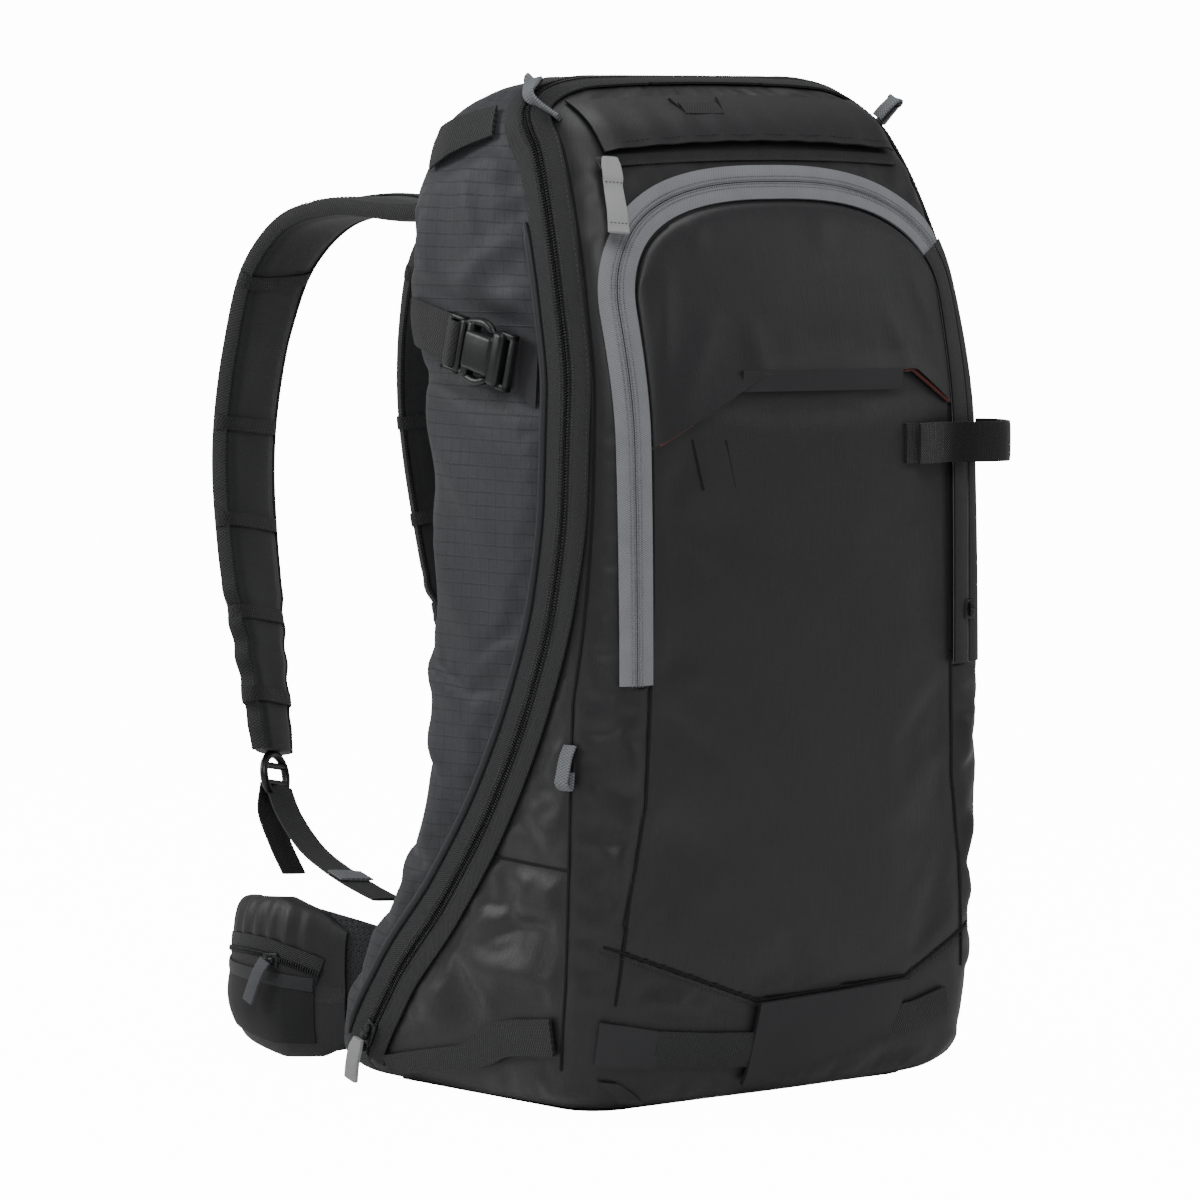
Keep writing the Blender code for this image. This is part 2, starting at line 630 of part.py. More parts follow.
# ---------------------------------------------------------------- front pocket
def pocket():
    """Zip tapes round the pocket, the raised upper panel on its door and the wall behind it."""
    line = np.array(arch(POCKET_HALF_WIDTH, POCKET_RISE, POCKET_SPRING_HEIGHT, POCKET_FOLD_HEIGHT + 0.001, 60))
    route = close_steps(on_front(line[:, 0], line[:, 1]), 40)
    half_gap = ZIP_GAP / 2
    add("pocket_zip_tape_outer", strip(route, half_gap, POCKET_TAPE_WIDTH, TRIM_LIFT, ZIP_TAPE_THICKNESS),
        "grey_zip")
    add("pocket_zip_tape_inner", strip(route, -POCKET_TAPE_WIDTH, -half_gap, TRIM_LIFT, ZIP_TAPE_THICKNESS),
        "grey_zip", "pocket_door")

    clear = POCKET_TAPE_WIDTH + 0.001
    reach = POCKET_HALF_WIDTH - clear - 0.001
    x = reach * np.sin(np.linspace(-math.pi / 2, math.pi / 2, 13))
    hem = [(-1.0, 0.066), (-0.32, 0.031), (0.55, 0.031), (1.0, 0.047)]
    low = POCKET_SPRING_HEIGHT - np.interp(x / reach, [h[0] for h in hem], [h[1] for h in hem])
    add("upper_pocket_panel", panel(on_front, lambda _: low, lambda v: arch_top(v, clear), x, 6,
                                    TRIM_LIFT, 0.003), "black_nylon", "pocket_door")

    levels = np.linspace(POCKET_FOLD_HEIGHT - 0.01, POCKET_SPRING_HEIGHT + POCKET_RISE + 0.008, 9)
    rows_out = []
    rows_in = []
    for z in levels:
        half = float(walls(np.array([z]), BAG_WALL + FABRIC_GAP)[0][0])
        width = np.linspace(-1, 1, 7) * (half - FRONT_CORNER * 0.4)
        front = on_front(width * 0.9, z)[:, 1] + BAG_WALL + POCKET_DEPTH
        rows_out.append(np.column_stack([width, front, np.full(7, z)]))
        rows_in.append(np.column_stack([width, front + 0.0015, np.full(7, z)]))
    add("pocket_divider", slab(np.array(rows_out), np.array(rows_in)), "black_nylon")


def axe_keeper():
    """Hook strip on the door and the strap that loops round an axe shaft and closes on it."""
    middle = POCKET_SPRING_HEIGHT - KEEPER_DROP
    z = np.array([middle - KEEPER_WIDTH / 2, middle + KEEPER_WIDTH / 2])
    x = np.linspace(KEEPER_REACH - 0.066, KEEPER_REACH - 0.034, 4)
    base = np.stack([on_front(x, v) for v in z])
    away = skin_normal(base.reshape(-1, 3)).reshape(base.shape)
    add("axe_keeper_base", slab(base + away * 0.0028, base + away * TRIM_LIFT), "hook_tape", "pocket_door")
    rest = on_front(np.array([KEEPER_REACH - 0.060, KEEPER_REACH - 0.036]), middle) + [0, -0.0068, 0]
    curl = to_skin([KEEPER_REACH, -(BAG_FRONT_DEPTH - 0.016), middle], level=True)[0]
    pivot("axe_keeper", tuple(curl + [0.0035, -0.0035, 0.0]))
    loop = smooth_path([rest[0], rest[1], rest[1] + [0.014, -0.009, 0], rest[1] + [0.033, -0.012, 0],
                        curl + [0.0075, -0.021, 0], curl + [0.0070, -0.010, 0], curl + [0.0035, -0.0035, 0]],
                       22)
    add("axe_keeper_strap", band(loop, (0, 0, 1), KEEPER_WIDTH, 0.0022), "hook_tape", "axe_keeper")


# ---------------------------------------------------------------- top of the front
def top_flap():
    """Flap over the small top pocket's zip, with that zip's slider and long pull."""
    x = np.linspace(-FLAP_HALF_WIDTH, FLAP_HALF_WIDTH, 13)
    arc = 1 - (x / FLAP_HALF_WIDTH) ** 2
    low = BAG_HEIGHT - FLAP_DROP + 0.005 * arc
    high = BAG_HEIGHT - FLAP_DROP + FLAP_HEIGHT + 0.004 * arc
    add("top_flap", panel(on_front, lambda _: low, lambda _: high, x, 4, TRIM_LIFT, FLAP_THICKNESS),
        "black_nylon")
    zip_height = BAG_HEIGHT - GOGGLE_ZIP_DROP
    start = on_front(-(FLAP_HALF_WIDTH + 0.002), zip_height)[0]
    normal = skin_normal(start)[0]
    seat = start + normal * 0.0056
    pivot("goggle_slider", (0.0, float(seat[1]) + ZIP_ARC_RADIUS, zip_height))
    turn = facing(normal, (1, 0, 0))
    add("goggle_zip_slider", block((0.011, 0.008, 0.004), seat, turn), "black_plastic", "goggle_slider")
    hinge = seat + normal * 0.0042
    pivot("goggle_pull", tuple(hinge))
    end = hinge + np.array([-0.012, -0.022, -0.040])
    along = (end - hinge) / np.linalg.norm(end - hinge)
    path = np.array([hinge, hinge + along * GOGGLE_PULL_LENGTH * 0.5, hinge + along * GOGGLE_PULL_LENGTH])
    add("goggle_zip_pull", band(path, np.cross(along, normal), 0.011, 0.0022), "pull_fabric", "goggle_pull")


def corner_loops():
    """Folded webbing tabs sewn into the top corners."""
    for side, name in ((-1, "left"), (1, "right")):
        seat = to_skin([side * (BAG_HALF_WIDTH - 0.0345), -(BAG_FRONT_DEPTH - 0.069), BAG_HEIGHT - 0.023])[0]
        normal = skin_normal(seat)[0]
        out = seat + normal * 0.0035
        path = np.array([out, out + [side * 0.004, -0.003, 0.005], out + [side * 0.010, -0.004, 0.009]])
        if side < 0:
            path = np.array([out, out + [-0.003, -0.002, 0.006], out + [-0.004, 0.001, 0.010]])
        add("corner_loop_" + name, band(path, (0, 1, 0.3), 0.010, 0.0032, columns=2), "grey_webbing")


# ---------------------------------------------------------------- lower front and sides
def ski_carry():
    """Ski-carry webbing across the foot of the front, and straps low on each side."""
    x = np.linspace(-(BAG_HALF_WIDTH - 0.0395), BAG_HALF_WIDTH - 0.0835, 9)
    z = 0.040 - 0.06 * (x - x[0])
    path = on_front(x, z)
    add("ski_loop_webbing", strip(path, -WEBBING / 2, WEBBING / 2, TRIM_LIFT, 0.0024), "black_webbing")
    for side, name in ((-1, "left"), (1, "right")):
        y = np.linspace(HINGE_Y - ZIP_TAPE_WIDTH - 0.0129, -(BAG_FRONT_DEPTH - 0.027), 9)
        z = np.interp(np.linspace(0, 1, 9), [0, 0.70, 1], [0.0165, 0.036, 0.046])
        route = on_side(y, z, side)
        add("side_webbing_" + name, strip(route, -0.0075, 0.0075, TRIM_LIFT, WEBBING_THICKNESS),
            "black_webbing")


def main_slider():
    """Slider at the foot of the main zip on the left, with its fabric pull."""
    low, high = 0.030, 0.041
    foot = on_side(float(zip_y(low)), low, -1)[0]
    head = on_side(float(zip_y(high)), high, -1)[0]
    normal = skin_normal(foot)[0]
    along = (head - foot) / np.linalg.norm(head - foot)
    seat = foot + normal * (TRIM_LIFT + ZIP_TAPE_THICKNESS + 0.0028)
    pivot("main_slider", tuple(seat))
    add("main_zip_slider", block((0.013, 0.010, 0.0042), seat, facing(normal, along)), "black_plastic",
        "main_slider")
    hinge = seat + normal * 0.0046 - along * 0.004
    pivot("main_pull", tuple(hinge))
    down = np.array([0, 0.3, -1.0])
    down /= np.linalg.norm(down)
    path = np.array([hinge, hinge + down * 0.012, hinge + down * 0.024])
    add("main_zip_pull", band(path, (0, 1, 0.3), 0.010, 0.0026), "pull_fabric", "main_pull")


def pocket_slider():
    """Slider and cord pull on the pocket zip's right leg."""
    seat = on_front(POCKET_HALF_WIDTH, POCKET_FOLD_HEIGHT + 0.030)[0]
    normal = skin_normal(seat)[0]
    middle = seat + normal * (TRIM_LIFT + ZIP_TAPE_THICKNESS + 0.0030)
    pivot("pocket_slider", tuple(middle))
    add("pocket_zip_slider", block((0.008, 0.010, 0.0040), middle, facing(normal, (1, 0, 0))),
        "black_plastic", "pocket_slider")


# ---------------------------------------------------------------- side compression
def side_buckles():
    """Side-release buckle, its webbing and its sewn tab on each side of the back cup."""
    tilt = math.radians(12)
    along = np.array([0.0, -math.cos(tilt), -math.sin(tilt)])
    buckle_height = BAG_HEIGHT - BUCKLE_DROP
    joint_y = float(zip_y(buckle_height)) + ZIP_TAPE_WIDTH + BUCKLE_LENGTH + BUCKLE_FROM_ZIP
    for side, name in ((-1, "left"), (1, "right")):
        seat = on_side(joint_y, buckle_height, side)[0]
        normal = skin_normal(seat)[0]
        run = along - normal * np.dot(along, normal)
        run /= np.linalg.norm(run)
        across = np.cross(normal, run)
        lift = TRIM_LIFT + WEBBING_THICKNESS + 0.0025 + BUCKLE_THICKNESS / 2
        middle = seat + normal * lift
        turn = Matrix((Vector(run), Vector(across), Vector(normal))).transposed()
        pivot("buckle_" + name, tuple(middle))

        housing = middle + run * (BUCKLE_LENGTH * 0.5 + 0.0006)
        female = add("buckle_socket_" + name, block((BUCKLE_LENGTH * 0.9, BUCKLE_WIDTH, BUCKLE_THICKNESS),
                                                    housing, turn), "black_plastic", "back_section")
        bore_size = (BUCKLE_LENGTH * 0.66, BUCKLE_WIDTH - 2 * BUCKLE_WALL, BUCKLE_THICKNESS - 2 * BUCKLE_WALL)
        bore = add("buckle_bore_" + name, block(bore_size, housing - run * BUCKLE_LENGTH * 0.16, turn), "",
                   guide=True)
        cut(female, bore)

        body = middle - run * (BUCKLE_LENGTH * 0.25 - 0.0006)
        male = add("buckle_plug_" + name, block((BUCKLE_LENGTH * 0.5 - 0.0010, BUCKLE_WIDTH * 0.96,
                                                 BUCKLE_THICKNESS * 0.9), body, turn),
                   "black_plastic", "buckle_" + name)
        prong_size = (BUCKLE_LENGTH * 0.60, bore_size[1] - 2 * BUCKLE_PLAY, bore_size[2] - 2 * BUCKLE_PLAY)
        prongs = add("buckle_prongs_" + name, block(prong_size, middle + run * BUCKLE_LENGTH * 0.25, turn),
                     "", guide=True)
        cut(male, prongs, "UNION")

        back_y = float(walls(np.array([buckle_height]), 0.0)[2][0]) - COMPRESSION_FROM_BACK
        reach = np.linspace(back_y, joint_y + 0.004, 7)
        route = on_side(reach, buckle_height + (reach - joint_y) * math.tan(tilt), side)
        add("compression_webbing_" + name, strip(route, -WEBBING / 2, WEBBING / 2, TRIM_LIFT,
                                                 WEBBING_THICKNESS), "black_webbing", "back_section")

        tab_start = joint_y - BUCKLE_LENGTH * 0.98
        reach = np.linspace(tab_start, float(zip_y(buckle_height)) + ZIP_TAPE_WIDTH + 0.0082, 4)
        middle_z = buckle_height + (reach - joint_y) * math.tan(tilt)
        spread = np.linspace(0.012, 0.020, 4)
        grid = np.stack([on_side(reach, middle_z + spread * v, side) for v in (-1, 0, 1)], 1)
        away = skin_normal(grid.reshape(-1, 3)).reshape(grid.shape)
        add("buckle_tab_" + name, slab(grid + away * (TRIM_LIFT + 0.002), grid + away * TRIM_LIFT),
            "black_nylon", "back_section")


def piping_and_corner_webbing():
    """Corded edge along the back of the main zip and the webbing over each top corner."""
    tangent = np.gradient(MAIN_ZIP, axis=0)
    tangent /= np.linalg.norm(tangent, axis=1, keepdims=True)
    normal = skin_normal(MAIN_ZIP)
    across = np.cross(tangent, normal)
    offset = -(ZIP_TAPE_WIDTH + PIPING_RADIUS + 0.0006)
    line = to_skin(MAIN_ZIP + across * offset)
    line = line + skin_normal(line) * (TRIM_LIFT + PIPING_RADIUS)
    for side, name in ((-1, "left"), (1, "right")):
        keep = [p for p in line if p[0] * side > 0 and 0.02 < p[2] < 0.475]
        path = even_steps(np.array(keep), 34)
        add("zip_piping_" + name, tube(path, PIPING_RADIUS, 6), "black_nylon", "back_section")
        low_end = float(zip_y(BAG_HEIGHT - 0.020)) + ZIP_TAPE_WIDTH + CORNER_WEBBING_FROM_ZIP
        ends = [on_side(low_end + along_y, BAG_HEIGHT - drop, side)[0]
                for along_y, drop in ((0.045, 0.033), (0.017, 0.024), (0.0, 0.020))]
        route = to_skin(smooth_path(ends, 7))
        add("corner_webbing_" + name, strip(route, -0.0085, 0.0085, TRIM_LIFT, WEBBING_THICKNESS),
            "black_webbing", "back_section")


# ---------------------------------------------------------------- back panel and frame
def back_panel():
    """Foam panel and lumbar pad outside; frame sheet and stays inside the back cup."""
    half = BAG_HALF_WIDTH - 0.0515
    x = np.linspace(-half, half, 7)
    low = np.full(7, LUMBAR_TOP + 0.024)
    high = np.full(7, BAG_HEIGHT - 0.098)
    rows = 1 + round((high[0] - low[0]) / PANEL_ROW)
    add("back_foam", panel(on_back, lambda _: low, lambda _: high, x, rows, TRIM_LIFT, BACK_FOAM_THICKNESS),
        "black_foam", "back_section")
    half = BAG_HALF_WIDTH - 0.0435
    x = np.linspace(-half, half, 7)
    low = np.full(7, 0.030)
    high = np.full(7, LUMBAR_TOP)
    add("lumbar_pad", panel(on_back, lambda _: low, lambda _: high, x, 6, TRIM_LIFT, LUMBAR_THICKNESS),
        "black_foam", "back_section")

    inside = -(BAG_WALL + 0.0016)
    half = BAG_HALF_WIDTH - 0.0585
    x = np.linspace(-half, half, 5)
    low = np.full(5, 0.045)
    high = np.full(5, BAG_HEIGHT - 0.100)
    rows = 1 + round((high[0] - low[0]) / SHEET_ROW)
    add("frame_sheet", panel(on_back, lambda _: low, lambda _: high, x, rows,
                             inside - FRAME_SHEET_THICKNESS, FRAME_SHEET_THICKNESS),
        "frame_plastic", "back_section")
    deep = inside - FRAME_SHEET_THICKNESS - STAY_RADIUS - 0.0010
    rise = np.linspace(STAY_FOOT, STAY_TOP, 1 + round((STAY_TOP - STAY_FOOT) / STAY_ROW))
    legs = [on_back(side * STAY_HALF_SPAN, rise) for side in (-1, 1)]
    bend = on_back(np.linspace(-STAY_HALF_SPAN, STAY_HALF_SPAN, 7)[1:-1],
                   STAY_TOP + np.array([0.012, 0.018, 0.020, 0.018, 0.012]))
    hoop = np.vstack([legs[0], bend, legs[1][::-1]])
    add("wire_stay", tube(hoop + skin_normal(hoop) * deep, STAY_RADIUS, 6), "aluminium", "back_section",
        smooth=True)


def haul_loop():
    """Grab loop of webbing at the top of the back."""
    seats = on_back(np.array([-0.036, 0.036]), BAG_HEIGHT - STRAP_ROOT_DROP + 0.008)
    normal = skin_normal(seats)
    feet = seats + normal * 0.009
    rise = np.array([0, 0.004, 0.030])
    pivot("haul_loop", (0.0, float(feet[0][1]), float(feet[0][2])))
    route = smooth_path([feet[0], feet[0] + rise * 0.6 + [0.002, 0, 0], (feet[0] + feet[1]) / 2 + rise * 1.15
                         + [-0.018, 0, 0], (feet[0] + feet[1]) / 2 + rise * 1.15 + [0.018, 0, 0],
                         feet[1] + rise * 0.6 + [-0.002, 0, 0], feet[1]], 17)
    add("haul_loop_webbing", band(route, (0, 1, -0.1), 0.012, 0.0026, columns=2), "black_webbing", "haul_loop")


# ---------------------------------------------------------------- shoulder straps
DRAWN_WIDTH = 0.1435             # the bag that the harness below is drawn on
DRAWN_ROOT_HEIGHT = 0.484
DRAWN_ROOT_WALL = 0.0674
DRAWN_THICKNESS = 0.012
HARNESS_FOOT = 0.150             # below this the harness keeps its height


def harness(points):
    """Strap points moved from the bag they are drawn on to this one: wider, deeper or taller."""
    x, y, z = np.array(points, float).T
    root_height = BAG_HEIGHT - STRAP_ROOT_DROP
    root_x = STRAP_ROOT_OFFSET * BAG_HALF_WIDTH / DRAWN_WIDTH
    out = float(on_back(root_x, root_height)[0][1]) - DRAWN_ROOT_WALL + (STRAP_THICKNESS - DRAWN_THICKNESS) / 2
    lifted = np.clip((z - HARNESS_FOOT) / (DRAWN_ROOT_HEIGHT - HARNESS_FOOT), 0, 1)
    return np.stack([x * BAG_HALF_WIDTH / DRAWN_WIDTH, y + out,
                     z + (root_height - DRAWN_ROOT_HEIGHT) * lifted], -1)


STRAP_ROUTE = harness([(STRAP_ROOT_OFFSET, 0.0735, 0.484), (0.053, 0.100, 0.481), (0.054, 0.132, 0.480),
                       (0.057, 0.182, 0.482), (0.061, 0.226, 0.474), (0.066, 0.256, 0.448),
                       (0.070, 0.270, 0.412), (0.074, 0.277, 0.370), (0.078, 0.276, 0.330),
                       (0.081, 0.268, 0.285), (0.083, 0.257, 0.240), (0.085, 0.246, 0.200),
                       (0.087, 0.237, 0.168)])
STRAP_FOOT = harness([(0.088, 0.233, 0.150), (0.093, 0.212, 0.132), (0.099, 0.184, 0.117),
                      (0.105, 0.152, 0.108), (0.112, 0.118, 0.102), (0.115, 0.094, 0.098)])


def strap_frame(points):
    """Width directions along a shoulder strap: level at the top, turned in towards the ribs below."""
    turn = np.radians(np.interp(np.linspace(0, 1, len(points)), [0, 0.25, 0.5, 1], [0, 8, 22, 30]))
    return np.stack([np.cos(turn), -np.sin(turn), np.zeros(len(points))], -1)


def shoulder_straps():
    """Padded straps, their ladder locks and lower webbing; the right one carries the trigger."""
    route = smooth_path(STRAP_ROUTE, 18)
    across = strap_frame(route)
    # left strap is modelled on -X and the right one is its mirror image
    flip = np.array([-1, 1, 1])
    width = np.interp(np.linspace(0, 1, 18), [0, 0.15, 0.8, 1], [STRAP_ROOT_WIDTH, STRAP_WIDTH, STRAP_WIDTH, 0.036])
    pad = band(route * flip, across * [-1, -1, 1] * [1, -1, 1], width, STRAP_THICKNESS * 0.6,
               crown=STRAP_THICKNESS * 0.2, columns=5)
    foot = smooth_path(STRAP_FOOT, 9) * flip
    end = route[-1] * flip
    run = (np.array(STRAP_FOOT[0]) - route[-2]) * flip
    run /= np.linalg.norm(run)
    seat = end + run * (LOCK_LENGTH / 2 + 0.0020)
    facing_back = np.cross(run, across[-1] * flip)
    facing_back /= np.linalg.norm(facing_back)
    turn = facing(facing_back, tuple(run))
    for side, name in ((-1, "left"), (1, "right")):
        body = "strap_" + name
        top = np.array(STRAP_ROUTE[0]) + [STRAP_ROOT_WIDTH / 2 + 0.002, 0, 0]
        pivot(body, tuple(top * [side, 1, 1]))
        shape = pad if side < 0 else mirrored(pad)
        add("shoulder_strap_" + name, shape, "black_nylon", body, smooth=True)
        lock = block((LOCK_LENGTH, 0.032, 0.005), seat, turn)
        add("ladder_lock_" + name, lock if side < 0 else mirrored(lock), "black_plastic", body)
        start = seat + run * (LOCK_LENGTH / 2 + 0.0016)
        webbing = band(np.vstack([start, smooth_path(np.array(STRAP_FOOT)[1:] * flip, 8)]), (1, 0.25, 0),
                       NARROW_WEBBING, WEBBING_THICKNESS, columns=2)
        add("strap_webbing_" + name, webbing if side < 0 else mirrored(webbing), "black_webbing", body)


def hip_wings():
    """Padded hip wings with their pockets, and the two halves of the waist buckle on webbing."""
    wider = BAG_HALF_WIDTH - DRAWN_WIDTH
    back = BAG_BACK_DEPTH - 0.0045
    path = smooth_path([(-(0.1215 + wider), back, 0), (-(0.131 + wider), back + 0.0395, 0),
                        (-(0.126 + wider * 0.9), back + 0.0795, 0), (-(0.104 + wider * 0.45), back + 0.1075, 0),
                        (-0.080, back + 0.1195, 0)], 11)
    tangent = np.gradient(path, axis=0)
    tangent /= np.linalg.norm(tangent, axis=1, keepdims=True)
    out = np.cross(tangent, [0, 0, -1.0])
    share = np.linspace(0, 1, 11)
    low = np.interp(share, [0, 0.3, 1], [0.012, 0.0025, 0.030])
    high = np.interp(share, [0, 0.3, 0.7, 1], [0.080, HIP_WING_TOP, 0.090, 0.066])
    thick = np.interp(share, [0, 0.25, 0.75, 1], [0.010, HIP_WING_THICKNESS, HIP_WING_THICKNESS, 0.010])
    rings = []
    for i in range(11):
        middle = (low[i] + high[i]) / 2
        tall = (high[i] - low[i]) / 2
        angles = np.linspace(0, 2 * math.pi, 12, endpoint=False)
        c, s = np.cos(angles), np.sin(angles)
        power = 0.6
        u = np.sign(c) * np.abs(c) ** power * thick[i] / 2
        v = np.sign(s) * np.abs(s) ** power * tall + middle
        rings.append(path[i] + np.outer(u, out[i]) + np.outer(v, [0, 0, 1]))
    wing = loft(rings)
    tip = np.array([-0.0785, back + 0.1210, 0.048])
    for side, name in ((-1, "left"), (1, "right")):
        body = "hip_wing_" + name
        pivot(body, (side * (0.1215 + wider), back, 0.05))
        add("hip_wing_" + name, wing if side < 0 else mirrored(wing), "black_nylon", body, smooth=True)
        webbing = band(np.array([tip, tip + [0.012, 0.006, 0], tip + [0.026, 0.010, 0]]), (0, 0, 1), WEBBING,
                       WEBBING_THICKNESS, columns=2)
        add("waist_webbing_" + name, webbing if side < 0 else mirrored(webbing), "black_webbing", body)
        half = block((0.036, 0.034, 0.010), tip + [0.0448, 0.0135, 0.0],
                     Matrix(((1, 0, 0), (0, 0, -1), (0, 1, 0))))
        half_name = "waist_buckle_socket" if side < 0 else "waist_buckle_plug"
        add(half_name, half if side < 0 else mirrored(half), "black_plastic", body)
        seat = path[3] + out[3] * (HIP_WING_THICKNESS / 2 + 0.0035) + np.array([0, 0, 0.060])
        spot = seat if side < 0 else seat * [-1, 1, 1]
        pivot("hip_zip_" + name, tuple(spot))
        pull = block((0.012, 0.009, 0.004), seat, facing(tuple(out[3]), tuple(tangent[3])))
        add("hip_zip_slider_" + name, pull if side < 0 else mirrored(pull), "black_plastic", "hip_zip_" + name)


# ---------------------------------------------------------------- airbag unit
def airbag_unit():
    """Gas cylinder, release valve and folded airbag inside the back cup; trigger on the right strap."""
    r = CYLINDER_RADIUS
    room_back = BAG_BACK_DEPTH * min(share for _, share in BACK_OUTLINE) - UNIT_CLEARANCE
    base = np.array([BAG_HALF_WIDTH - UNIT_SIDE_MARGIN, room_back - r, BAG_HEIGHT - UNIT_DROP])
    profile = [(r * 0.55, 0.0), (r * 0.85, 0.004), (r, 0.014)]
    shoulder = CYLINDER_LENGTH - 0.030
    profile += [(r, shoulder), (r * 0.9, shoulder + 0.010), (r * 0.62, shoulder + 0.020),
                (r * 0.42, shoulder + 0.025), (r * 0.42, CYLINDER_LENGTH)]
    bottle = add("gas_cylinder", turned(profile, base, 20), "steel", "back_section", smooth=True)
    w = CYLINDER_WALL
    hollow = [(r * 0.5, w), (r - w, 0.014), (r - w, shoulder), (r * 0.6, shoulder + 0.016), (0.004, shoulder + 0.020),
              (0.004, CYLINDER_LENGTH + 0.004)]
    room = add("cylinder_room", turned(hollow, base, 20), "", guide=True)
    cut(bottle, room)
    head = base + [0, 0, CYLINDER_LENGTH + FABRIC_GAP + VALVE_HEIGHT / 2]
    add("release_valve", block((VALVE_SIDE, VALVE_SIDE, VALVE_HEIGHT), head), "aluminium", "back_section")
    bag_low = head[2] + VALVE_HEIGHT / 2 + FABRIC_GAP
    bag = block(AIRBAG_SIZE, (0.0, room_back - AIRBAG_SIZE[1] / 2, bag_low + AIRBAG_SIZE[2] / 2))
    made = add("folded_airbag", bag, "airbag_nylon", "back_section")
    soften(made, 0.010)

    exit_point = on_back(STRAP_ROUTE[0][0], BAG_HEIGHT - 0.0925)[0]
    normal = skin_normal(exit_point)[0]
    inner = exit_point - normal * 0.016
    start = head + [VALVE_SIDE / 2 + 0.0003, 0.006, 0.012]
    wall = BAG_HALF_WIDTH - 0.0335
    hidden = smooth_path([start, start + [0.012, 0, 0], [wall, room_back - 0.014, BAG_HEIGHT - 0.205],
                          [wall + 0.002, room_back + 0.004, BAG_HEIGHT - 0.150],
                          [wall - 0.006, inner[1] - 0.014, BAG_HEIGHT - 0.105], inner + [0.020, 0, -0.002], inner,
                          exit_point - normal * 0.004, exit_point + normal * 0.004], 40)
    add("trigger_cable_inner", tube(hidden, CABLE_RADIUS, 8), "black_plastic", "back_section", smooth=True)
    port = add("cable_port", tube(np.array([inner, exit_point + normal * 0.01]), CABLE_RADIUS + 0.0015, 10), "",
               guide=True)
    cut(back_shell, port)

    route = smooth_path(STRAP_ROUTE, 40)
    tangent = np.gradient(route, axis=0)
    tangent /= np.linalg.norm(tangent, axis=1, keepdims=True)
    across = strap_frame(route)
    away = np.cross(across, tangent)
    away *= np.sign(away[20][1])
    lift = STRAP_THICKNESS / 2 + CABLE_RADIUS + 0.0012
    low, high = 4, 25
    line = (route + away * lift)[low:high]
    add("trigger_cable_strap", tube(line, CABLE_RADIUS, 6), "black_plastic", "strap_right", smooth=True)
    along = tangent[high + 2]
    seat = route[high + 2] + away[high + 2] * (lift + 0.004)
    pivot("trigger_handle", tuple(seat))
    turn = facing(tuple(away[high + 2]), tuple(along))
    handle = add("trigger_handle", block((0.060, 0.022, 0.012), seat + along * 0.016, turn), "trigger_red",
                 "trigger_handle")
    soften(handle, 0.004)


# ---------------------------------------------------------------- run
back_shell = bag_cups()
base_panel()
main_zip()
pocket()
axe_keeper()
top_flap()
corner_loops()
ski_carry()
main_slider()
pocket_slider()
side_buckles()
piping_and_corner_webbing()
back_panel()
haul_loop()
shoulder_straps()
hip_wings()
airbag_unit()
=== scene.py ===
import math

import bmesh
import bpy
import numpy as np
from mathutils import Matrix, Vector, kdtree


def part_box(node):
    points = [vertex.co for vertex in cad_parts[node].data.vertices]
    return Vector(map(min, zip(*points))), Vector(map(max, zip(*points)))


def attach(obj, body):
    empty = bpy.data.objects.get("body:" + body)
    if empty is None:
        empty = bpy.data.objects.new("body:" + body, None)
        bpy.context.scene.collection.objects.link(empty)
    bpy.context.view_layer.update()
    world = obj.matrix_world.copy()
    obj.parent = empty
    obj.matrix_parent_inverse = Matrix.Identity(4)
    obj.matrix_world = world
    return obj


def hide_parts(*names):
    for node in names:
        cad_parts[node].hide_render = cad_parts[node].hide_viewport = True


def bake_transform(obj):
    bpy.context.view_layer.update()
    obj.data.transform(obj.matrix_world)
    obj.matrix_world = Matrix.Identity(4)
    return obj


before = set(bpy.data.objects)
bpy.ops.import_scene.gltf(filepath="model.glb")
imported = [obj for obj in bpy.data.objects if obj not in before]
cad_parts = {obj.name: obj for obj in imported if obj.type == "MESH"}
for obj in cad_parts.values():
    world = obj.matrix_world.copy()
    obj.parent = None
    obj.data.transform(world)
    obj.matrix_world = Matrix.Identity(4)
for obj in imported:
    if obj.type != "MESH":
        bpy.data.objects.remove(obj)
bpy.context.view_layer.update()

# ---------------------------------------------------------------- camera, floor and light
AIM = Vector((-0.0231, 0.0194, 0.2653))
VIEW_AZIMUTH = math.radians(-40)
VIEW_HEIGHT = math.radians(4.4)
VIEW_DISTANCE = 3.444
VIEW_LENS = 186.0
BACKDROP_GLOW = 14.0
AMBIENT = 0.24
MATH = "ShaderNodeMath"
MIX = "ShaderNodeMix"
NOISE = "ShaderNodeTexNoise"
RANGE = "ShaderNodeMapRange"
toward_camera = Vector((math.sin(VIEW_AZIMUTH) * math.cos(VIEW_HEIGHT),
                        -math.cos(VIEW_AZIMUTH) * math.cos(VIEW_HEIGHT), math.sin(VIEW_HEIGHT)))
lens = bpy.data.cameras.new("studio_camera")
lens.lens = VIEW_LENS
camera = bpy.data.objects.new("studio_camera", lens)
camera.location = AIM + toward_camera * VIEW_DISTANCE
camera.rotation_euler = toward_camera.to_track_quat("Z", "Y").to_euler()
bpy.context.collection.objects.link(camera)
bpy.context.scene.camera = camera


def srgb(colour):
    """A hex colour as linear RGBA."""
    channels = [int(colour[i:i + 2], 16) / 255 for i in (1, 3, 5)]
    return (*(c / 12.92 if c <= 0.04045 else ((c + 0.055) / 1.055) ** 2.4 for c in channels), 1.0)


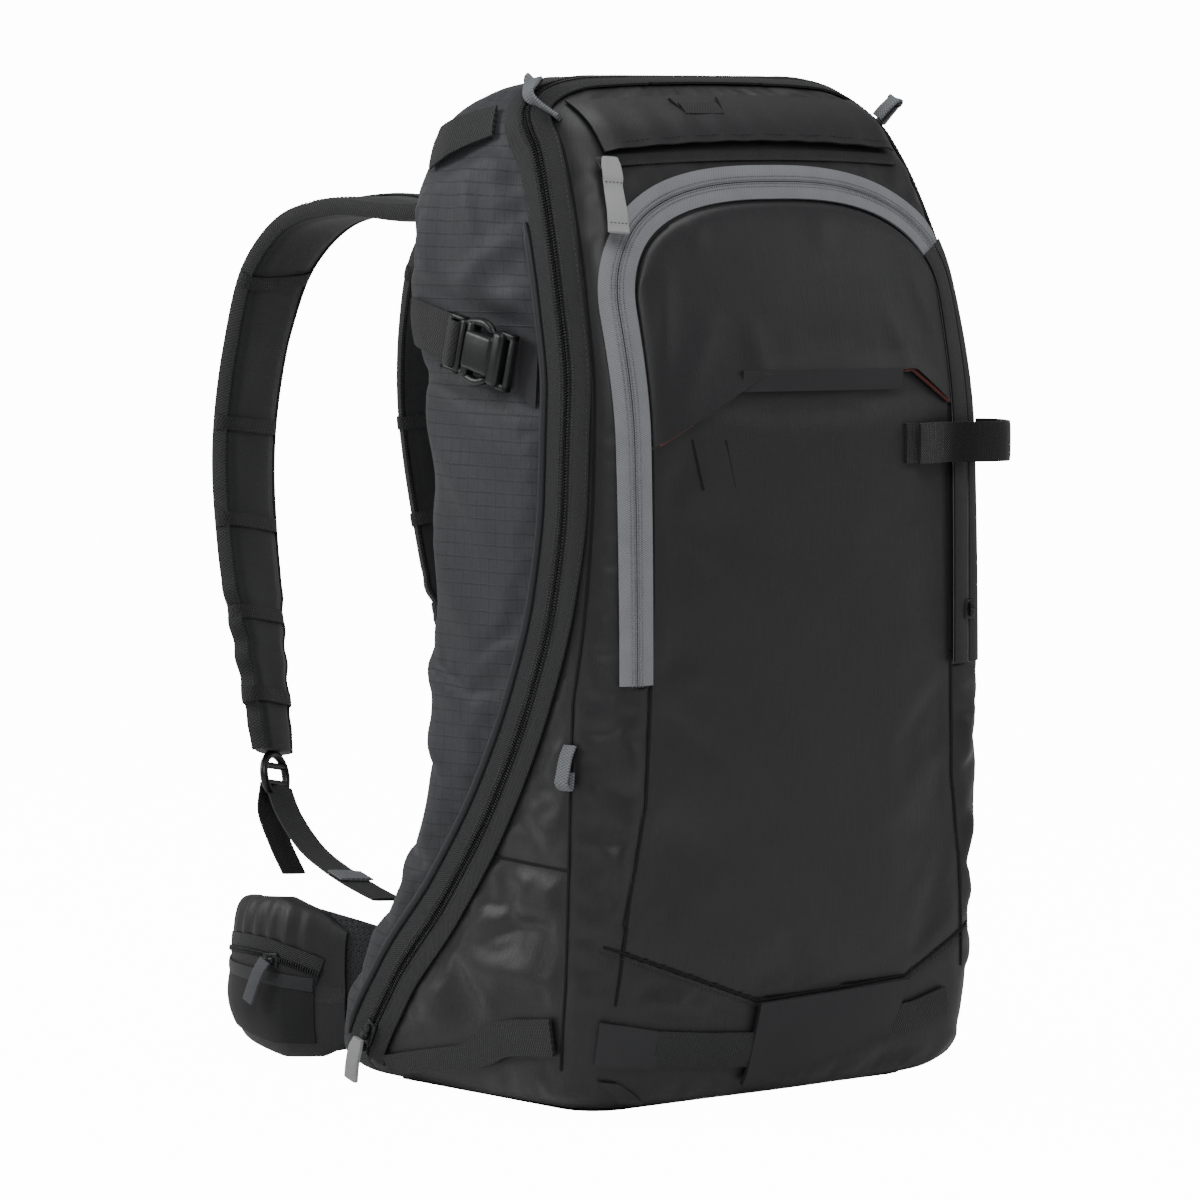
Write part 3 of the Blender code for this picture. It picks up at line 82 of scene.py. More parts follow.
def add_node(tree, kind, inputs=(), output=0, **settings):
    """Add a node; inputs gives its sockets values or other nodes' outputs, in order or by name."""
    made = tree.nodes.new(kind)
    for key, value in settings.items():
        setattr(made, key, value)
    for key, value in inputs.items() if isinstance(inputs, dict) else enumerate(inputs):
        if isinstance(value, bpy.types.NodeSocket):
            tree.links.new(value, made.inputs[key])
        else:
            made.inputs[key].default_value = value
    return made.outputs[output]


def studio():
    """White floor, white surroundings and four soft panels of light."""
    bpy.ops.mesh.primitive_plane_add(size=40, location=(0, 0, 0))
    floor = bpy.context.object
    floor.name = "studio_floor"
    paint = bpy.data.materials.new("matt_white_floor_paint")
    paint.use_nodes = True
    shader = paint.node_tree.nodes["Principled BSDF"]
    shader.inputs["Base Color"].default_value = srgb("#F4F4F3")
    shader.inputs["Roughness"].default_value = 0.9
    seen = add_node(paint.node_tree, "ShaderNodeLightPath", output="Is Camera Ray")
    glow = add_node(paint.node_tree, MATH, [seen, BACKDROP_GLOW], operation="MULTIPLY")
    paint.node_tree.links.new(glow, shader.inputs["Emission Strength"])
    shader.inputs["Emission Color"].default_value = srgb("#FFFFFF")
    floor.data.materials.append(paint)
    world = bpy.data.worlds.new("studio")
    world.use_nodes = True
    sky = world.node_tree
    seen = add_node(sky, "ShaderNodeLightPath", output="Is Camera Ray")
    strength = add_node(sky, RANGE, {"Value": seen, "To Min": AMBIENT, "To Max": BACKDROP_GLOW})
    sky.links.new(strength, sky.nodes["Background"].inputs["Strength"])
    sky.nodes["Background"].inputs["Color"].default_value = srgb("#FFFFFF")
    bpy.context.scene.world = world
    panels = [("key", (-1.6, -2.0, 2.4), 1.6, 44), ("fill", (2.2, -1.6, 1.4), 1.4, 7),
              ("rim", (-1.8, 1.8, 1.6), 1.2, 30), ("top", (0.2, 0.0, 2.6), 1.2, 16)]
    for name, place, size, power in panels:
        light = bpy.data.lights.new(name + "_light", "AREA")
        light.size = size
        light.energy = power
        lamp = bpy.data.objects.new(name + "_light", light)
        lamp.location = place
        lamp.rotation_euler = (Vector(place) - AIM).to_track_quat("Z", "Y").to_euler()
        bpy.context.collection.objects.link(lamp)


studio()

# ---------------------------------------------------------------- the bag's skin, as the frame has it
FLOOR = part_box("front_shell")[0].z
BAG_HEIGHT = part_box("back_shell")[1].z - FLOOR
BAG_HALF_WIDTH = 0.1435
BAG_FRONT_DEPTH = 0.121
BAG_BACK_DEPTH = 0.125
FRONT_CORNER = 0.022
BACK_CORNER = 0.030
TOP_ROUND = 0.030
BASE_ROUND = 0.020
FRONT_CROWN = 0.010
SIDE_CROWN = 0.004
WIDTH_OUTLINE = [(0.0, 0.970), (0.11, 0.995), (0.27, 0.995), (0.49, 0.980), (0.65, 0.960),
                 (0.80, 0.925), (0.905, 0.870), (1.0, 0.790)]
FRONT_OUTLINE = [(0.0, 0.876), (0.145, 0.960), (0.45, 1.0), (0.65, 0.990), (0.80, 0.876),
                 (0.89, 0.727), (1.0, 0.413)]
BACK_OUTLINE = [(0.0, 1.0), (0.09, 0.84), (0.217, 0.464), (0.308, 0.304), (0.49, 0.272),
                (0.69, 0.384), (0.83, 0.56), (0.906, 0.512), (1.0, 0.288)]
ZIP_OUTLINE = [(-0.2, 0.66), (0.0, 0.66), (0.105, 0.38), (0.193, 0.01), (0.298, -0.347), (0.402, -0.587),
               (0.50, -0.727), (0.598, -0.779), (0.695, -0.774), (0.789, -0.689), (0.885, -0.532),
               (0.933, -0.42), (0.971, -0.27), (1.0, -0.23), (1.3, -0.21)]
POCKET_HALF_WIDTH = 0.119
POCKET_FOLD = 0.232
POCKET_SPRING = 0.425
POCKET_RISE = 0.072
POCKET_TAPE = 0.010
ZIP_TAPE = 0.015
TRIM_LIFT = 0.0010
TAPE_THICKNESS = 0.0012
WEBBING = 0.025


def outline(share, knots):
    """Smooth monotone curve through the knots, read at each share of the height."""
    at = np.array([k[0] for k in knots])
    value = np.array([k[1] for k in knots])
    step = np.diff(at)
    rise = np.diff(value) / step
    slope = np.concatenate([[rise[0]], np.zeros(len(at) - 2), [rise[-1]]])
    for i in range(1, len(at) - 1):
        if rise[i - 1] * rise[i] > 0:
            before = 2 * step[i] + step[i - 1]
            after = step[i] + 2 * step[i - 1]
            slope[i] = (before + after) / (before / rise[i - 1] + after / rise[i])
    share = np.clip(share, at[0], at[-1])
    i = np.clip(np.searchsorted(at, share) - 1, 0, len(at) - 2)
    t = (share - at[i]) / step[i]
    ease = t * t * (3 - 2 * t)
    return (value[i] * (1 - ease) + value[i + 1] * ease
            + step[i] * t * (1 - t) * ((1 - t) * slope[i] - t * slope[i + 1]))


def round_over(distance, radius):
    """How far a rounded edge pulls the skin in at a distance from the end."""
    distance = np.clip(distance, 0, radius)
    return radius - np.sqrt(np.maximum(radius ** 2 - (radius - distance) ** 2, 0))


def walls(z):
    """Half width, front y and back y of the bag at height z."""
    share = (z - FLOOR) / BAG_HEIGHT
    tuck = round_over(FLOOR + BAG_HEIGHT - z, TOP_ROUND) + round_over(z - FLOOR, BASE_ROUND)
    half = BAG_HALF_WIDTH * outline(share, WIDTH_OUTLINE) - tuck
    front = -BAG_FRONT_DEPTH * outline(share, FRONT_OUTLINE) + tuck
    back = BAG_BACK_DEPTH * outline(share, BACK_OUTLINE) - tuck
    return half, front, back


def skin_distance(points):
    """Distance from the bag's skin, level by level: negative inside."""
    x, y, z = np.asarray(points, float).reshape(-1, 3).T
    half, front, back = walls(z)
    middle = (front + back) / 2
    depth = (back - front) / 2
    toward = np.clip((y - middle) / depth, -1, 1)
    flat_y = y + FRONT_CROWN * np.clip(1 - (x / half) ** 2, 0, 1) * np.maximum(-toward, 0)
    flat_x = x / (1 + SIDE_CROWN / half * (1 - toward ** 2))
    radius = np.minimum(np.where(flat_y < middle, FRONT_CORNER, BACK_CORNER), depth * 0.98)
    over_x = np.abs(flat_x) - (half - radius)
    over_y = np.abs(flat_y - middle) - (depth - radius)
    outside = np.hypot(np.maximum(over_x, 0), np.maximum(over_y, 0))
    side = outside + np.minimum(np.maximum(over_x, over_y), 0)
    return np.maximum(side - radius, np.maximum(z - FLOOR - BAG_HEIGHT, FLOOR - z))


def skin_slope(points):
    """Gradient of skin_distance at each point."""
    points = np.asarray(points, float).reshape(-1, 3)
    reach = 2e-4
    return np.stack([(skin_distance(points + reach * axis) - skin_distance(points - reach * axis))
                     / (2 * reach) for axis in np.eye(3)], -1)


def skin_normal(points):
    """Outward unit normal of the skin near each point."""
    slope = skin_slope(points)
    return slope / np.maximum(np.linalg.norm(slope, axis=1, keepdims=True), 1e-12)


def to_skin(points):
    """Move points onto the skin."""
    points = np.array(points, float).reshape(-1, 3)
    for _ in range(10):
        slope = skin_slope(points)
        steep = np.maximum(np.sum(slope ** 2, axis=1), 1e-9)
        points -= slope * (skin_distance(points) / steep)[:, None]
    return points


def reach_skin(start, direction):
    """Where rays from points inside the bag leave its skin."""
    start = np.asarray(start, float).reshape(-1, 3)
    direction = np.asarray(direction, float).reshape(-1, 3)
    near = np.zeros(len(start))
    away = np.full(len(start), 0.4)
    for _ in range(34):
        middle = (near + away) / 2
        inside = skin_distance(start + direction * middle[:, None]) < 0
        near = np.where(inside, middle, near)
        away = np.where(inside, away, middle)
    return start + direction * near[:, None]


def bag_middle(z):
    _, front, back = walls(np.asarray(z, float))
    return (front + back) / 2


def zip_y(z):
    return BAG_FRONT_DEPTH * outline((np.asarray(z, float) - FLOOR) / BAG_HEIGHT, ZIP_OUTLINE)


def on_front(x, z):
    """Points of the front wall at these x and z."""
    x, z = np.broadcast_arrays(np.asarray(x, float), np.asarray(z, float))
    start = np.stack([x.ravel(), zip_y(z.ravel()) * 0.5 + bag_middle(z.ravel()) * 0.5, z.ravel()], -1)
    return reach_skin(start, np.tile([0.0, -1.0, 0.0], (x.size, 1)))


def on_back(x, z):
    """Points of the wearer's side at these x and z."""
    x, z = np.broadcast_arrays(np.asarray(x, float), np.asarray(z, float))
    start = np.stack([x.ravel(), bag_middle(z.ravel()), z.ravel()], -1)
    return reach_skin(start, np.tile([0.0, 1.0, 0.0], (x.size, 1)))


def on_side(y, z, side):
    """Points of the left (-1) or right (1) wall at these y and z."""
    y, z = np.broadcast_arrays(np.asarray(y, float), np.asarray(z, float))
    start = np.stack([np.zeros(y.size), y.ravel(), z.ravel()], -1)
    return reach_skin(start, np.tile([float(side), 0.0, 0.0], (y.size, 1)))


def even_steps(points, count):
    """Points at even distances along a line."""
    length = np.concatenate([[0], np.cumsum(np.linalg.norm(np.diff(points, axis=0), axis=1))])
    at = np.linspace(0, length[-1], count)
    return np.stack([np.interp(at, length, points[:, k]) for k in range(3)], -1)


def smooth_path(points, count):
    """Even steps along a Catmull-Rom curve through the points."""
    p = np.asarray(points, float)
    p = np.vstack([2 * p[0] - p[1], p, 2 * p[-1] - p[-2]])
    dense = []
    for i in range(1, len(p) - 2):
        for t in np.linspace(0, 1, 24, endpoint=False):
            dense.append(0.5 * (2 * p[i] + (p[i + 1] - p[i - 1]) * t
                                + (2 * p[i - 1] - 5 * p[i] + 4 * p[i + 1] - p[i + 2]) * t ** 2
                                + (3 * p[i] - p[i - 1] - 3 * p[i + 1] + p[i + 2]) * t ** 3))
    dense.append(p[-2])
    return even_steps(np.array(dense), count)


def arch_top(x, inset=0.0):
    """Height of the pocket zip over x, drawn in by inset."""
    share = np.clip(np.abs(x) / (POCKET_HALF_WIDTH - inset), 0, 1)
    return POCKET_SPRING + (POCKET_RISE - inset) * (1 - share ** 2.6) ** (1 / 2.6)


def pocket_path(inset, foot, count):
    """The pocket zip's line on the skin, from the left leg's foot over the arch to the right one's."""
    half = POCKET_HALF_WIDTH - inset
    rise = POCKET_RISE - inset
    power = 2 / 2.6
    points = [(-half, foot), (-half, (foot + POCKET_SPRING) / 2)]
    for a in np.linspace(math.pi, 0, 90):
        points.append((half * math.copysign(abs(math.cos(a)) ** power, math.cos(a)),
                       POCKET_SPRING + rise * math.sin(a) ** power))
    points += [(half, (foot + POCKET_SPRING) / 2), (half, foot)]
    flat = even_steps(np.array([(x, 0.0, z) for x, z in points]), 400)
    return even_steps(on_front(flat[:, 0], flat[:, 2]), count)


def zip_path(count):
    """Centre line of the main zip on the skin, from its left end over the top to its right end."""
    centre_z = FLOOR + BAG_HEIGHT * 0.5
    angles = np.radians(np.linspace(-168, 168, 481))
    low = np.zeros(len(angles))
    high = np.full(len(angles), 0.6)
    for _ in range(36):
        reach = (low + high) / 2
        x = np.sin(angles) * reach
        z = centre_z + np.cos(angles) * reach
        inside = skin_distance(np.stack([x, zip_y(z), z], -1)) < 0
        low = np.where(inside, reach, low)
        high = np.where(inside, high, reach)
    points = np.stack([x, zip_y(z), z], -1)
    return even_steps(points[points[:, 2] > FLOOR + 0.012], count)


MAIN_ZIP = zip_path(620)
POCKET_ZIP = pocket_path(0.0, POCKET_FOLD + 0.001, 420)


# ---------------------------------------------------------------- finishes
THREAD_COARSE = 0.0011      # threads are 0.3 mm; drawn this coarse so that the weave still shows


def start_finish(name, roughness, metallic=0.0, sheen=0.0, coat=0.0):
    """A new material, its tree and its shader."""
    made = bpy.data.materials.new(name)
    made.use_nodes = True
    tree = made.node_tree
    shader = tree.nodes["Principled BSDF"]
    shader.inputs["Roughness"].default_value = roughness
    shader.inputs["Metallic"].default_value = metallic
    shader.inputs["Sheen Weight"].default_value = sheen
    shader.inputs["Sheen Roughness"].default_value = 0.45
    shader.inputs["Coat Weight"].default_value = coat
    return made, tree, shader


def finish_with(tree, shader, colour, height, depth, gloss=None):
    """Give the shader a pattern's colour and gloss, and let its height stand up by depth metres."""
    tree.links.new(colour, shader.inputs["Base Color"])
    bump = add_node(tree, "ShaderNodeBump", {"Height": height, "Distance": depth, "Strength": 1.0})
    tree.links.new(bump, shader.inputs["Normal"])
    if gloss is not None:
        tree.links.new(gloss, shader.inputs["Roughness"])


def wave(tree, along, pitch):
    """Ridges one pitch apart, from -1 to 1."""
    turn = add_node(tree, MATH, [along, 2 * math.pi / pitch], operation="MULTIPLY")
    return add_node(tree, MATH, [turn], operation="SINE")


def thin_lines(tree, along, spacing, width):
    """1 on lines of a width, spaced apart, and 0 between them."""
    near = add_node(tree, MATH, [along, spacing / 2], operation="PINGPONG")
    return add_node(tree, RANGE, {"Value": near, "From Min": width * 0.35, "From Max": width,
                                  "To Min": 1.0, "To Max": 0.0})


def cloth_axes(tree):
    """Lengthways, crossways and 3-D coordinates, in metres along the cloth."""
    uv = add_node(tree, "ShaderNodeUVMap", uv_map="weave")
    split = add_node(tree, "ShaderNodeSeparateXYZ", [uv]).node
    return split.outputs[0], split.outputs[1], uv


def fine_streaks(tree, place, grains, stretch=(1.0, 1.0, 1.0)):
    """Fine grain from 0 to 1, 1 / grains metres wide, drawn out along the axes of little stretch."""
    place = add_node(tree, "ShaderNodeMapping", {"Vector": place, "Scale": stretch})
    return add_node(tree, NOISE, {"Vector": place, "Scale": grains, "Detail": 2.0})


def woven(name, dark, light, roughness=0.55, sheen=0.15, pitch=THREAD_COARSE, depth=0.00012, ripstop=0.0,
          ripstop_dark="#1A1B1D", streaks=0.5):
    """Plain-weave cloth: crossing threads, long streaks where yarns differ, ripstop squares if asked."""
    made, tree, shader = start_finish(name, roughness, sheen=sheen)
    u, v, uv = cloth_axes(tree)
    weave = add_node(tree, MATH, [wave(tree, u, pitch), wave(tree, v, pitch)], operation="MULTIPLY")
    yarn = fine_streaks(tree, uv, 1500.0, (1.0, 0.03, 1.0))
    weft = fine_streaks(tree, uv, 1500.0, (0.03, 1.0, 1.0))
    fade = add_node(tree, NOISE, {"Vector": uv, "Scale": 14.0, "Detail": 3.0})
    mottle = add_node(tree, MATH, [weft, streaks * 0.6], operation="MULTIPLY")
    mottle = add_node(tree, MATH, [yarn, streaks, mottle], operation="MULTIPLY_ADD")
    mottle = add_node(tree, MATH, [fade, 0.7, mottle], operation="MULTIPLY_ADD")
    mottle = add_node(tree, RANGE, {"Value": mottle, "From Min": 0.3, "From Max": 1.25})
    colour = add_node(tree, MIX, {0: mottle, 6: srgb(dark), 7: srgb(light)}, 2, data_type="RGBA")
    height = add_node(tree, MATH, [yarn, 0.8], operation="MULTIPLY")
    height = add_node(tree, MATH, [weave, 0.25, height], operation="MULTIPLY_ADD")
    if ripstop:
        squares = add_node(tree, MATH, [thin_lines(tree, u, ripstop, 0.0006), 0.45], operation="MULTIPLY")
        squares = add_node(tree, MATH, [squares, thin_lines(tree, v, ripstop, 0.0006)], operation="MAXIMUM")
        broken = add_node(tree, NOISE, {"Vector": uv, "Scale": 500.0, "Detail": 2.0})
        broken = add_node(tree, RANGE, {"Value": broken, "From Min": 0.35, "From Max": 0.65})
        broken = add_node(tree, MATH, [broken, 0.6, 0.4], operation="MULTIPLY_ADD")
        squares = add_node(tree, MATH, [squares, broken], operation="MULTIPLY")
        colour = add_node(tree, MIX, {0: squares, 6: colour, 7: srgb(ripstop_dark)}, 2, data_type="RGBA")
        height = add_node(tree, MATH, [squares, 1.4, height], operation="MULTIPLY_ADD")
    gloss = add_node(tree, RANGE, {"Value": mottle, "To Min": roughness + 0.07, "To Max": roughness - 0.07})
    finish_with(tree, shader, colour, height, depth, gloss)
    return made


def webbing_finish(name, dark, light, pitch=0.0016, chevron=0.0, roughness=0.65, depth=0.0003, sheen=0.08):
    """Narrow woven tape: ribs across its length, broken like bricks or slanted as herringbone."""
    made, tree, shader = start_finish(name, roughness, sheen=sheen)
    u, v, uv = cloth_axes(tree)
    if chevron:
        folded = add_node(tree, MATH, [v], operation="ABSOLUTE")
        slant = add_node(tree, MATH, [folded, chevron, u], operation="MULTIPLY_ADD")
        ribs = wave(tree, slant, pitch)
    else:
        column = wave(tree, v, pitch * 1.9)
        side = add_node(tree, MATH, [column], operation="SIGN")
        ribs = wave(tree, add_node(tree, MATH, [side, pitch / 4, u], operation="MULTIPLY_ADD"), pitch)
        column = add_node(tree, MATH, [column], operation="ABSOLUTE")
        ribs = add_node(tree, MATH, [ribs, column], operation="MULTIPLY")
    fuzz = add_node(tree, NOISE, {"Vector": uv, "Scale": 900.0, "Detail": 3.0})
    fuzz = add_node(tree, MATH, [fuzz, 0.4, 0.3], operation="MULTIPLY_ADD")
    height = add_node(tree, MATH, [ribs, 0.5, fuzz], operation="MULTIPLY_ADD")
    worn = add_node(tree, NOISE, {"Vector": uv, "Scale": 60.0, "Detail": 3.0})
    # The colour follows the rib height: painted highlight on the crests and painted shade between them,
    # with random wear from the worn noise on top.
    shade = add_node(tree, MATH, [height, 0.75], operation="MULTIPLY")
    shade = add_node(tree, MATH, [worn, 0.4, shade], operation="MULTIPLY_ADD")
    colour = add_node(tree, MIX, {0: shade, 6: srgb(dark), 7: srgb(light)}, 2, data_type="RGBA")
    finish_with(tree, shader, colour, height, depth)
    return made


def moulded(name, dark, light, roughness, depth=0.00004, grains=2600.0, metallic=0.0, coat=0.0,
            brushed=(1.0, 1.0, 1.0)):
    """Moulded or metal surface in object space: fine grain, cloudy gloss and slightly rubbed patches."""
    made, tree, shader = start_finish(name, roughness, metallic, coat=coat)
    place = add_node(tree, "ShaderNodeTexCoord", output="Object")
    fine = fine_streaks(tree, place, grains, brushed)
    cloud = add_node(tree, NOISE, {"Vector": place, "Scale": 45.0, "Detail": 4.0})
    shade = add_node(tree, RANGE, {"Value": cloud, "From Min": 0.35, "From Max": 0.7})
    shade = add_node(tree, MATH, [fine, 0.3, shade], operation="MULTIPLY_ADD")
    colour = add_node(tree, MIX, {0: shade, 6: srgb(dark), 7: srgb(light)}, 2, data_type="RGBA")
    gloss = add_node(tree, RANGE, {"Value": cloud, "To Min": roughness + 0.08, "To Max": roughness - 0.08})
    finish_with(tree, shader, colour, fine, depth, gloss)
    return made


def mesh_finish(name, dark, light, cell=0.0032):
    """Spacer mesh: round holes in offset rows, painted darker than the knit as painted shade down in them.
    """
    made, tree, shader = start_finish(name, 0.85, sheen=0.3)
    u, v, _ = cloth_axes(tree)
    side = add_node(tree, MATH, [wave(tree, v, cell * 2)], operation="SIGN")
    shifted = add_node(tree, MATH, [side, cell / 4, u], operation="MULTIPLY_ADD")
    across = add_node(tree, MATH, [shifted, cell / 2], operation="PINGPONG")
    along = add_node(tree, MATH, [v, cell / 2], operation="PINGPONG")
    squared = [add_node(tree, MATH, [part, 2.0], operation="POWER") for part in (across, along)]
    near = add_node(tree, MATH, [add_node(tree, MATH, squared, operation="ADD")], operation="SQRT")
    rim = add_node(tree, RANGE, {"Value": near, "From Min": cell * 0.16, "From Max": cell * 0.34})
    colour = add_node(tree, MIX, {0: rim, 6: srgb(dark), 7: srgb(light)}, 2, data_type="RGBA")
    finish_with(tree, shader, colour, rim, 0.0005)
    return made


# Nylon ripstop, matt, with a blue-grey cast; its squares of heavier yarn are 7 mm apart.
RIPSTOP = woven("slate_ripstop_nylon", "#222428", "#373A40", 0.6, 0.10, ripstop=0.007,
                ripstop_dark="#16171A")
# High-density nylon with a faint upright streak and a low satin shine.
NYLON = woven("black_high_density_nylon", "#121214", "#242427", 0.45, 0.05, streaks=0.7)
# The same cloth with a film laminated on: smoother, and its threads hardly show.
LAMINATE = woven("film_laminated_nylon", "#1E1E21", "#2C2C30", 0.55, 0.04, depth=0.00003, streaks=0.25)
# Polyester lining seen when the bag opens.
LINING = woven("polyester_lining", "#55585C", "#6E7175", 0.6, 0.2, ripstop=0.005, ripstop_dark="#4A4D51")
# Knitted tape beside the coil, slanted ribs.
BLACK_TAPE = webbing_finish("black_zip_tape", "#08090A", "#1D1E20", 0.0016, chevron=1.1, depth=0.00025)
# The light tape beside the pocket's coil: finer ribs and a dull satin.
GREY_TAPE = webbing_finish("grey_zip_tape", "#5F6165", "#909296", 0.0012, depth=0.00012, roughness=0.5)
# Nylon webbing, ribbed, with dry broken highlights.
BLACK_WEB = webbing_finish("black_nylon_webbing", "#0A0B0B", "#262728", 0.0018, depth=0.0004)
# Grosgrain ribbon: close ribs that catch the light on their crests.
GREY_WEB = webbing_finish("grey_grosgrain", "#3E4246", "#85898C", 0.0016, depth=0.0004)
# Smooth light tape folded into zip pulls, with hardly any rib.
PULL_CLOTH = webbing_finish("light_grey_pull_cloth", "#7E7F81", "#AEAEAE", 0.0009, depth=0.00012,
                            roughness=0.6)
# Stretch woven cloth of the hip pocket, almost matt.
STRETCH = woven("black_stretch_cloth", "#08090A", "#131415", 0.8, 0.12, depth=0.00006)
# Textured weave over the shoulder straps: coarser threads and a soft edge.
STRAP_CLOTH = woven("black_strap_cloth", "#131416", "#222427", 0.62, 0.12, pitch=0.0013, depth=0.00018)
# Knitted spacer mesh over foam: rows of round holes, painted dark as painted shade down in them.
SPACER = mesh_finish("black_spacer_mesh", "#050606", "#232528")
# Hook and loop tape: a rough pile that takes the light without shine.
HOOK_TAPE = woven("hook_and_loop_tape", "#060607", "#131415", 0.95, 0.3, pitch=0.0015, depth=0.0005)
# Cloth drawn tight over the piping cord: smooth, a little lighter along its crest.
PIPING = woven("black_piping_cloth", "#1A1C1F", "#2A2C30", 0.55, 0.1, depth=0.00006)
# Dark red binding tape, matt, that shows as a thin line.
RED_EDGE = woven("dark_red_edge_tape", "#3A100B", "#6E2317", 0.6, 0.2)
# Sunk thread with painted shade of the fold beside it, darker than the cloth round it: nearly black and
# dull.
SEAM_SHADE = woven("seam_thread_and_painted_fold_shade", "#060607", "#121314", 0.9, 0.0)
# Acetal: semi-matt moulding with a spark-eroded grain.
ACETAL = moulded("black_acetal", "#0A0B0B", "#1B1D1F", 0.36)
# Drawn nylon monofilament: smooth and a little shiny.
COIL = moulded("nylon_zip_coil", "#080909", "#19191B", 0.32)
# The same monofilament, dyed grey and duller.
GREY_COIL = moulded("grey_nylon_thread", "#55575B", "#808285", 0.45)
# Bonded sewing thread: a dull sheen along each stitch.
THREAD = moulded("bonded_nylon_thread", "#1E2022", "#3A3C3F", 0.5)
# Dark folded tape of the hip pockets' pulls.
DARK_TAB = webbing_finish("dark_grey_pull_cloth", "#2E3033", "#55585C", 0.0009, depth=0.00012)
# Extruded polyethylene sheet: milky, soft-edged gloss.
POLYETHYLENE = moulded("milky_polyethylene", "#C9CBC8", "#E2E3E0", 0.45)
# Drawn aluminium rod and machined valve: long fine draw lines.
ALUMINIUM = moulded("drawn_aluminium", "#9DA1A6", "#C4C8CC", 0.32, metallic=1.0, brushed=(1.0, 1.0, 0.02))
# Anodised and satin-brushed aluminium: an even grey shine.
CYLINDER = moulded("satin_anodised_aluminium", "#6F7276", "#8E9297", 0.36, metallic=1.0,
                   brushed=(1.0, 1.0, 0.05))
# Light coated ripstop of the folded airbag: strong orange, crisp squares.
AIRBAG = woven("orange_airbag_nylon", "#B23A15", "#DB5A2A", 0.5, 0.2, ripstop=0.008, ripstop_dark="#9A3110")
# Injection-moulded red handle with a thin gloss.
TRIGGER = moulded("red_moulded_handle", "#8E1E15", "#B93226", 0.35, coat=0.2)


# ---------------------------------------------------------------- mesh helpers
def make_piece(name, shape, finish, body, replaces=()):
    """A finished mesh that rides on a body; shape's last part is each vertex's place on the cloth."""
    verts, faces, uv = shape
    mesh = bpy.data.meshes.new(name)
    mesh.from_pydata([tuple(v) for v in np.asarray(verts, float)], [], faces)
    layer = mesh.uv_layers.new(name="weave")
    corner = np.empty(len(mesh.loops), int)
    mesh.loops.foreach_get("vertex_index", corner)
    layer.data.foreach_set("uv", np.asarray(uv, float)[corner].ravel())
    mesh.materials.append(finish)
    mesh.shade_smooth()
    mesh.set_sharp_from_angle(angle=math.radians(48))
    made = bpy.data.objects.new(name, mesh)
    bpy.context.collection.objects.link(made)
    outward(made)
    return settle(made, body, replaces)


def settle(made, body, replaces=()):
    """Hang a finished piece on its body and hide the parts it stands for."""
    if body:
        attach(made, body)
    if replaces:
        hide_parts(*replaces)
    return made


def outward(made):
    """Turn the faces of a closed mesh outwards."""
    work = bmesh.new()
    work.from_mesh(made.data)
    bmesh.ops.recalc_face_normals(work, faces=work.faces)
    work.to_mesh(made.data)
    work.free()


def slab(outer, inner, uv):
    """Closed solid between two equal grids; uv is the grid's place on the cloth."""
    rows, columns = outer.shape[:2]
    verts = np.concatenate([outer.reshape(-1, 3), inner.reshape(-1, 3)])
    half = rows * columns
    faces = []
    for i in range(rows - 1):
        for j in range(columns - 1):
            a = i * columns + j
            faces.append((a, a + 1, a + columns + 1, a + columns))
            faces.append((a + half, a + half + columns, a + half + columns + 1, a + half + 1))
    edge = ([(0, j) for j in range(columns)] + [(i, columns - 1) for i in range(1, rows)]
            + [(rows - 1, j) for j in range(columns - 2, -1, -1)]
            + [(i, 0) for i in range(rows - 2, 0, -1)])
    edge = [i * columns + j for i, j in edge]
    for a, b in zip(edge, edge[1:] + edge[:1]):
        faces.append((a, a + half, b + half, b))
    return verts, faces, np.concatenate([uv.reshape(-1, 2)] * 2)


def run_length(points):
    return np.concatenate([[0], np.cumsum(np.linalg.norm(np.diff(points, axis=0), axis=1))])


def unit(rows):
    return rows / np.maximum(np.linalg.norm(rows, axis=-1, keepdims=True), 1e-12)


def path_frame(path):
    """Tangent, outward normal and sideways direction along a path on the skin."""
    tangent = unit(np.gradient(path, axis=0))
    normal = skin_normal(path)
    return tangent, normal, unit(np.cross(tangent, normal))


def tape(path, low, high, lift, thickness, columns=5, crown=0.0):
    """Tape lying on the skin along a path, from sideways offset low to high."""
    _, _, across = path_frame(path)
    length = run_length(path)
    outer = []
    inner = []
    uv = []
    for offset in np.linspace(low, high, columns):
        foot = to_skin(path + across * offset)
        away = skin_normal(foot)
        share = 2 * (offset - low) / (high - low) - 1
        outer.append(foot + away * (lift + thickness + crown * (1 - share ** 2)))
        inner.append(foot + away * lift)
        uv.append(np.stack([length, np.full(len(path), offset)], -1))
    return slab(np.stack(outer, 1), np.stack(inner, 1), np.stack(uv, 1))


def ribbon(path, across, width, thickness, columns=5, crown=0.0):
    """Free strap along a path; across is its width direction at each point."""
    path = np.asarray(path, float)
    tangent = unit(np.gradient(path, axis=0))
    across = np.asarray(across, float) * np.ones((len(path), 1))
    across = unit(across - tangent * np.sum(across * tangent, axis=1, keepdims=True))
    normal = np.cross(tangent, across)
    width = np.asarray(width, float) * np.ones(len(path))
    length = run_length(path)
    outer = []
    inner = []
    uv = []
    for share in np.linspace(-1, 1, columns):
        side = path + across * (width / 2 * share)[:, None]
        rise = thickness / 2 * (1 - 0.35 * share ** 6) + crown * (1 - share ** 2)
        outer.append(side + normal * rise)
        inner.append(side - normal * rise)
        uv.append(np.stack([length, width / 2 * share], -1))
    return slab(np.stack(outer, 1), np.stack(inner, 1), np.stack(uv, 1))


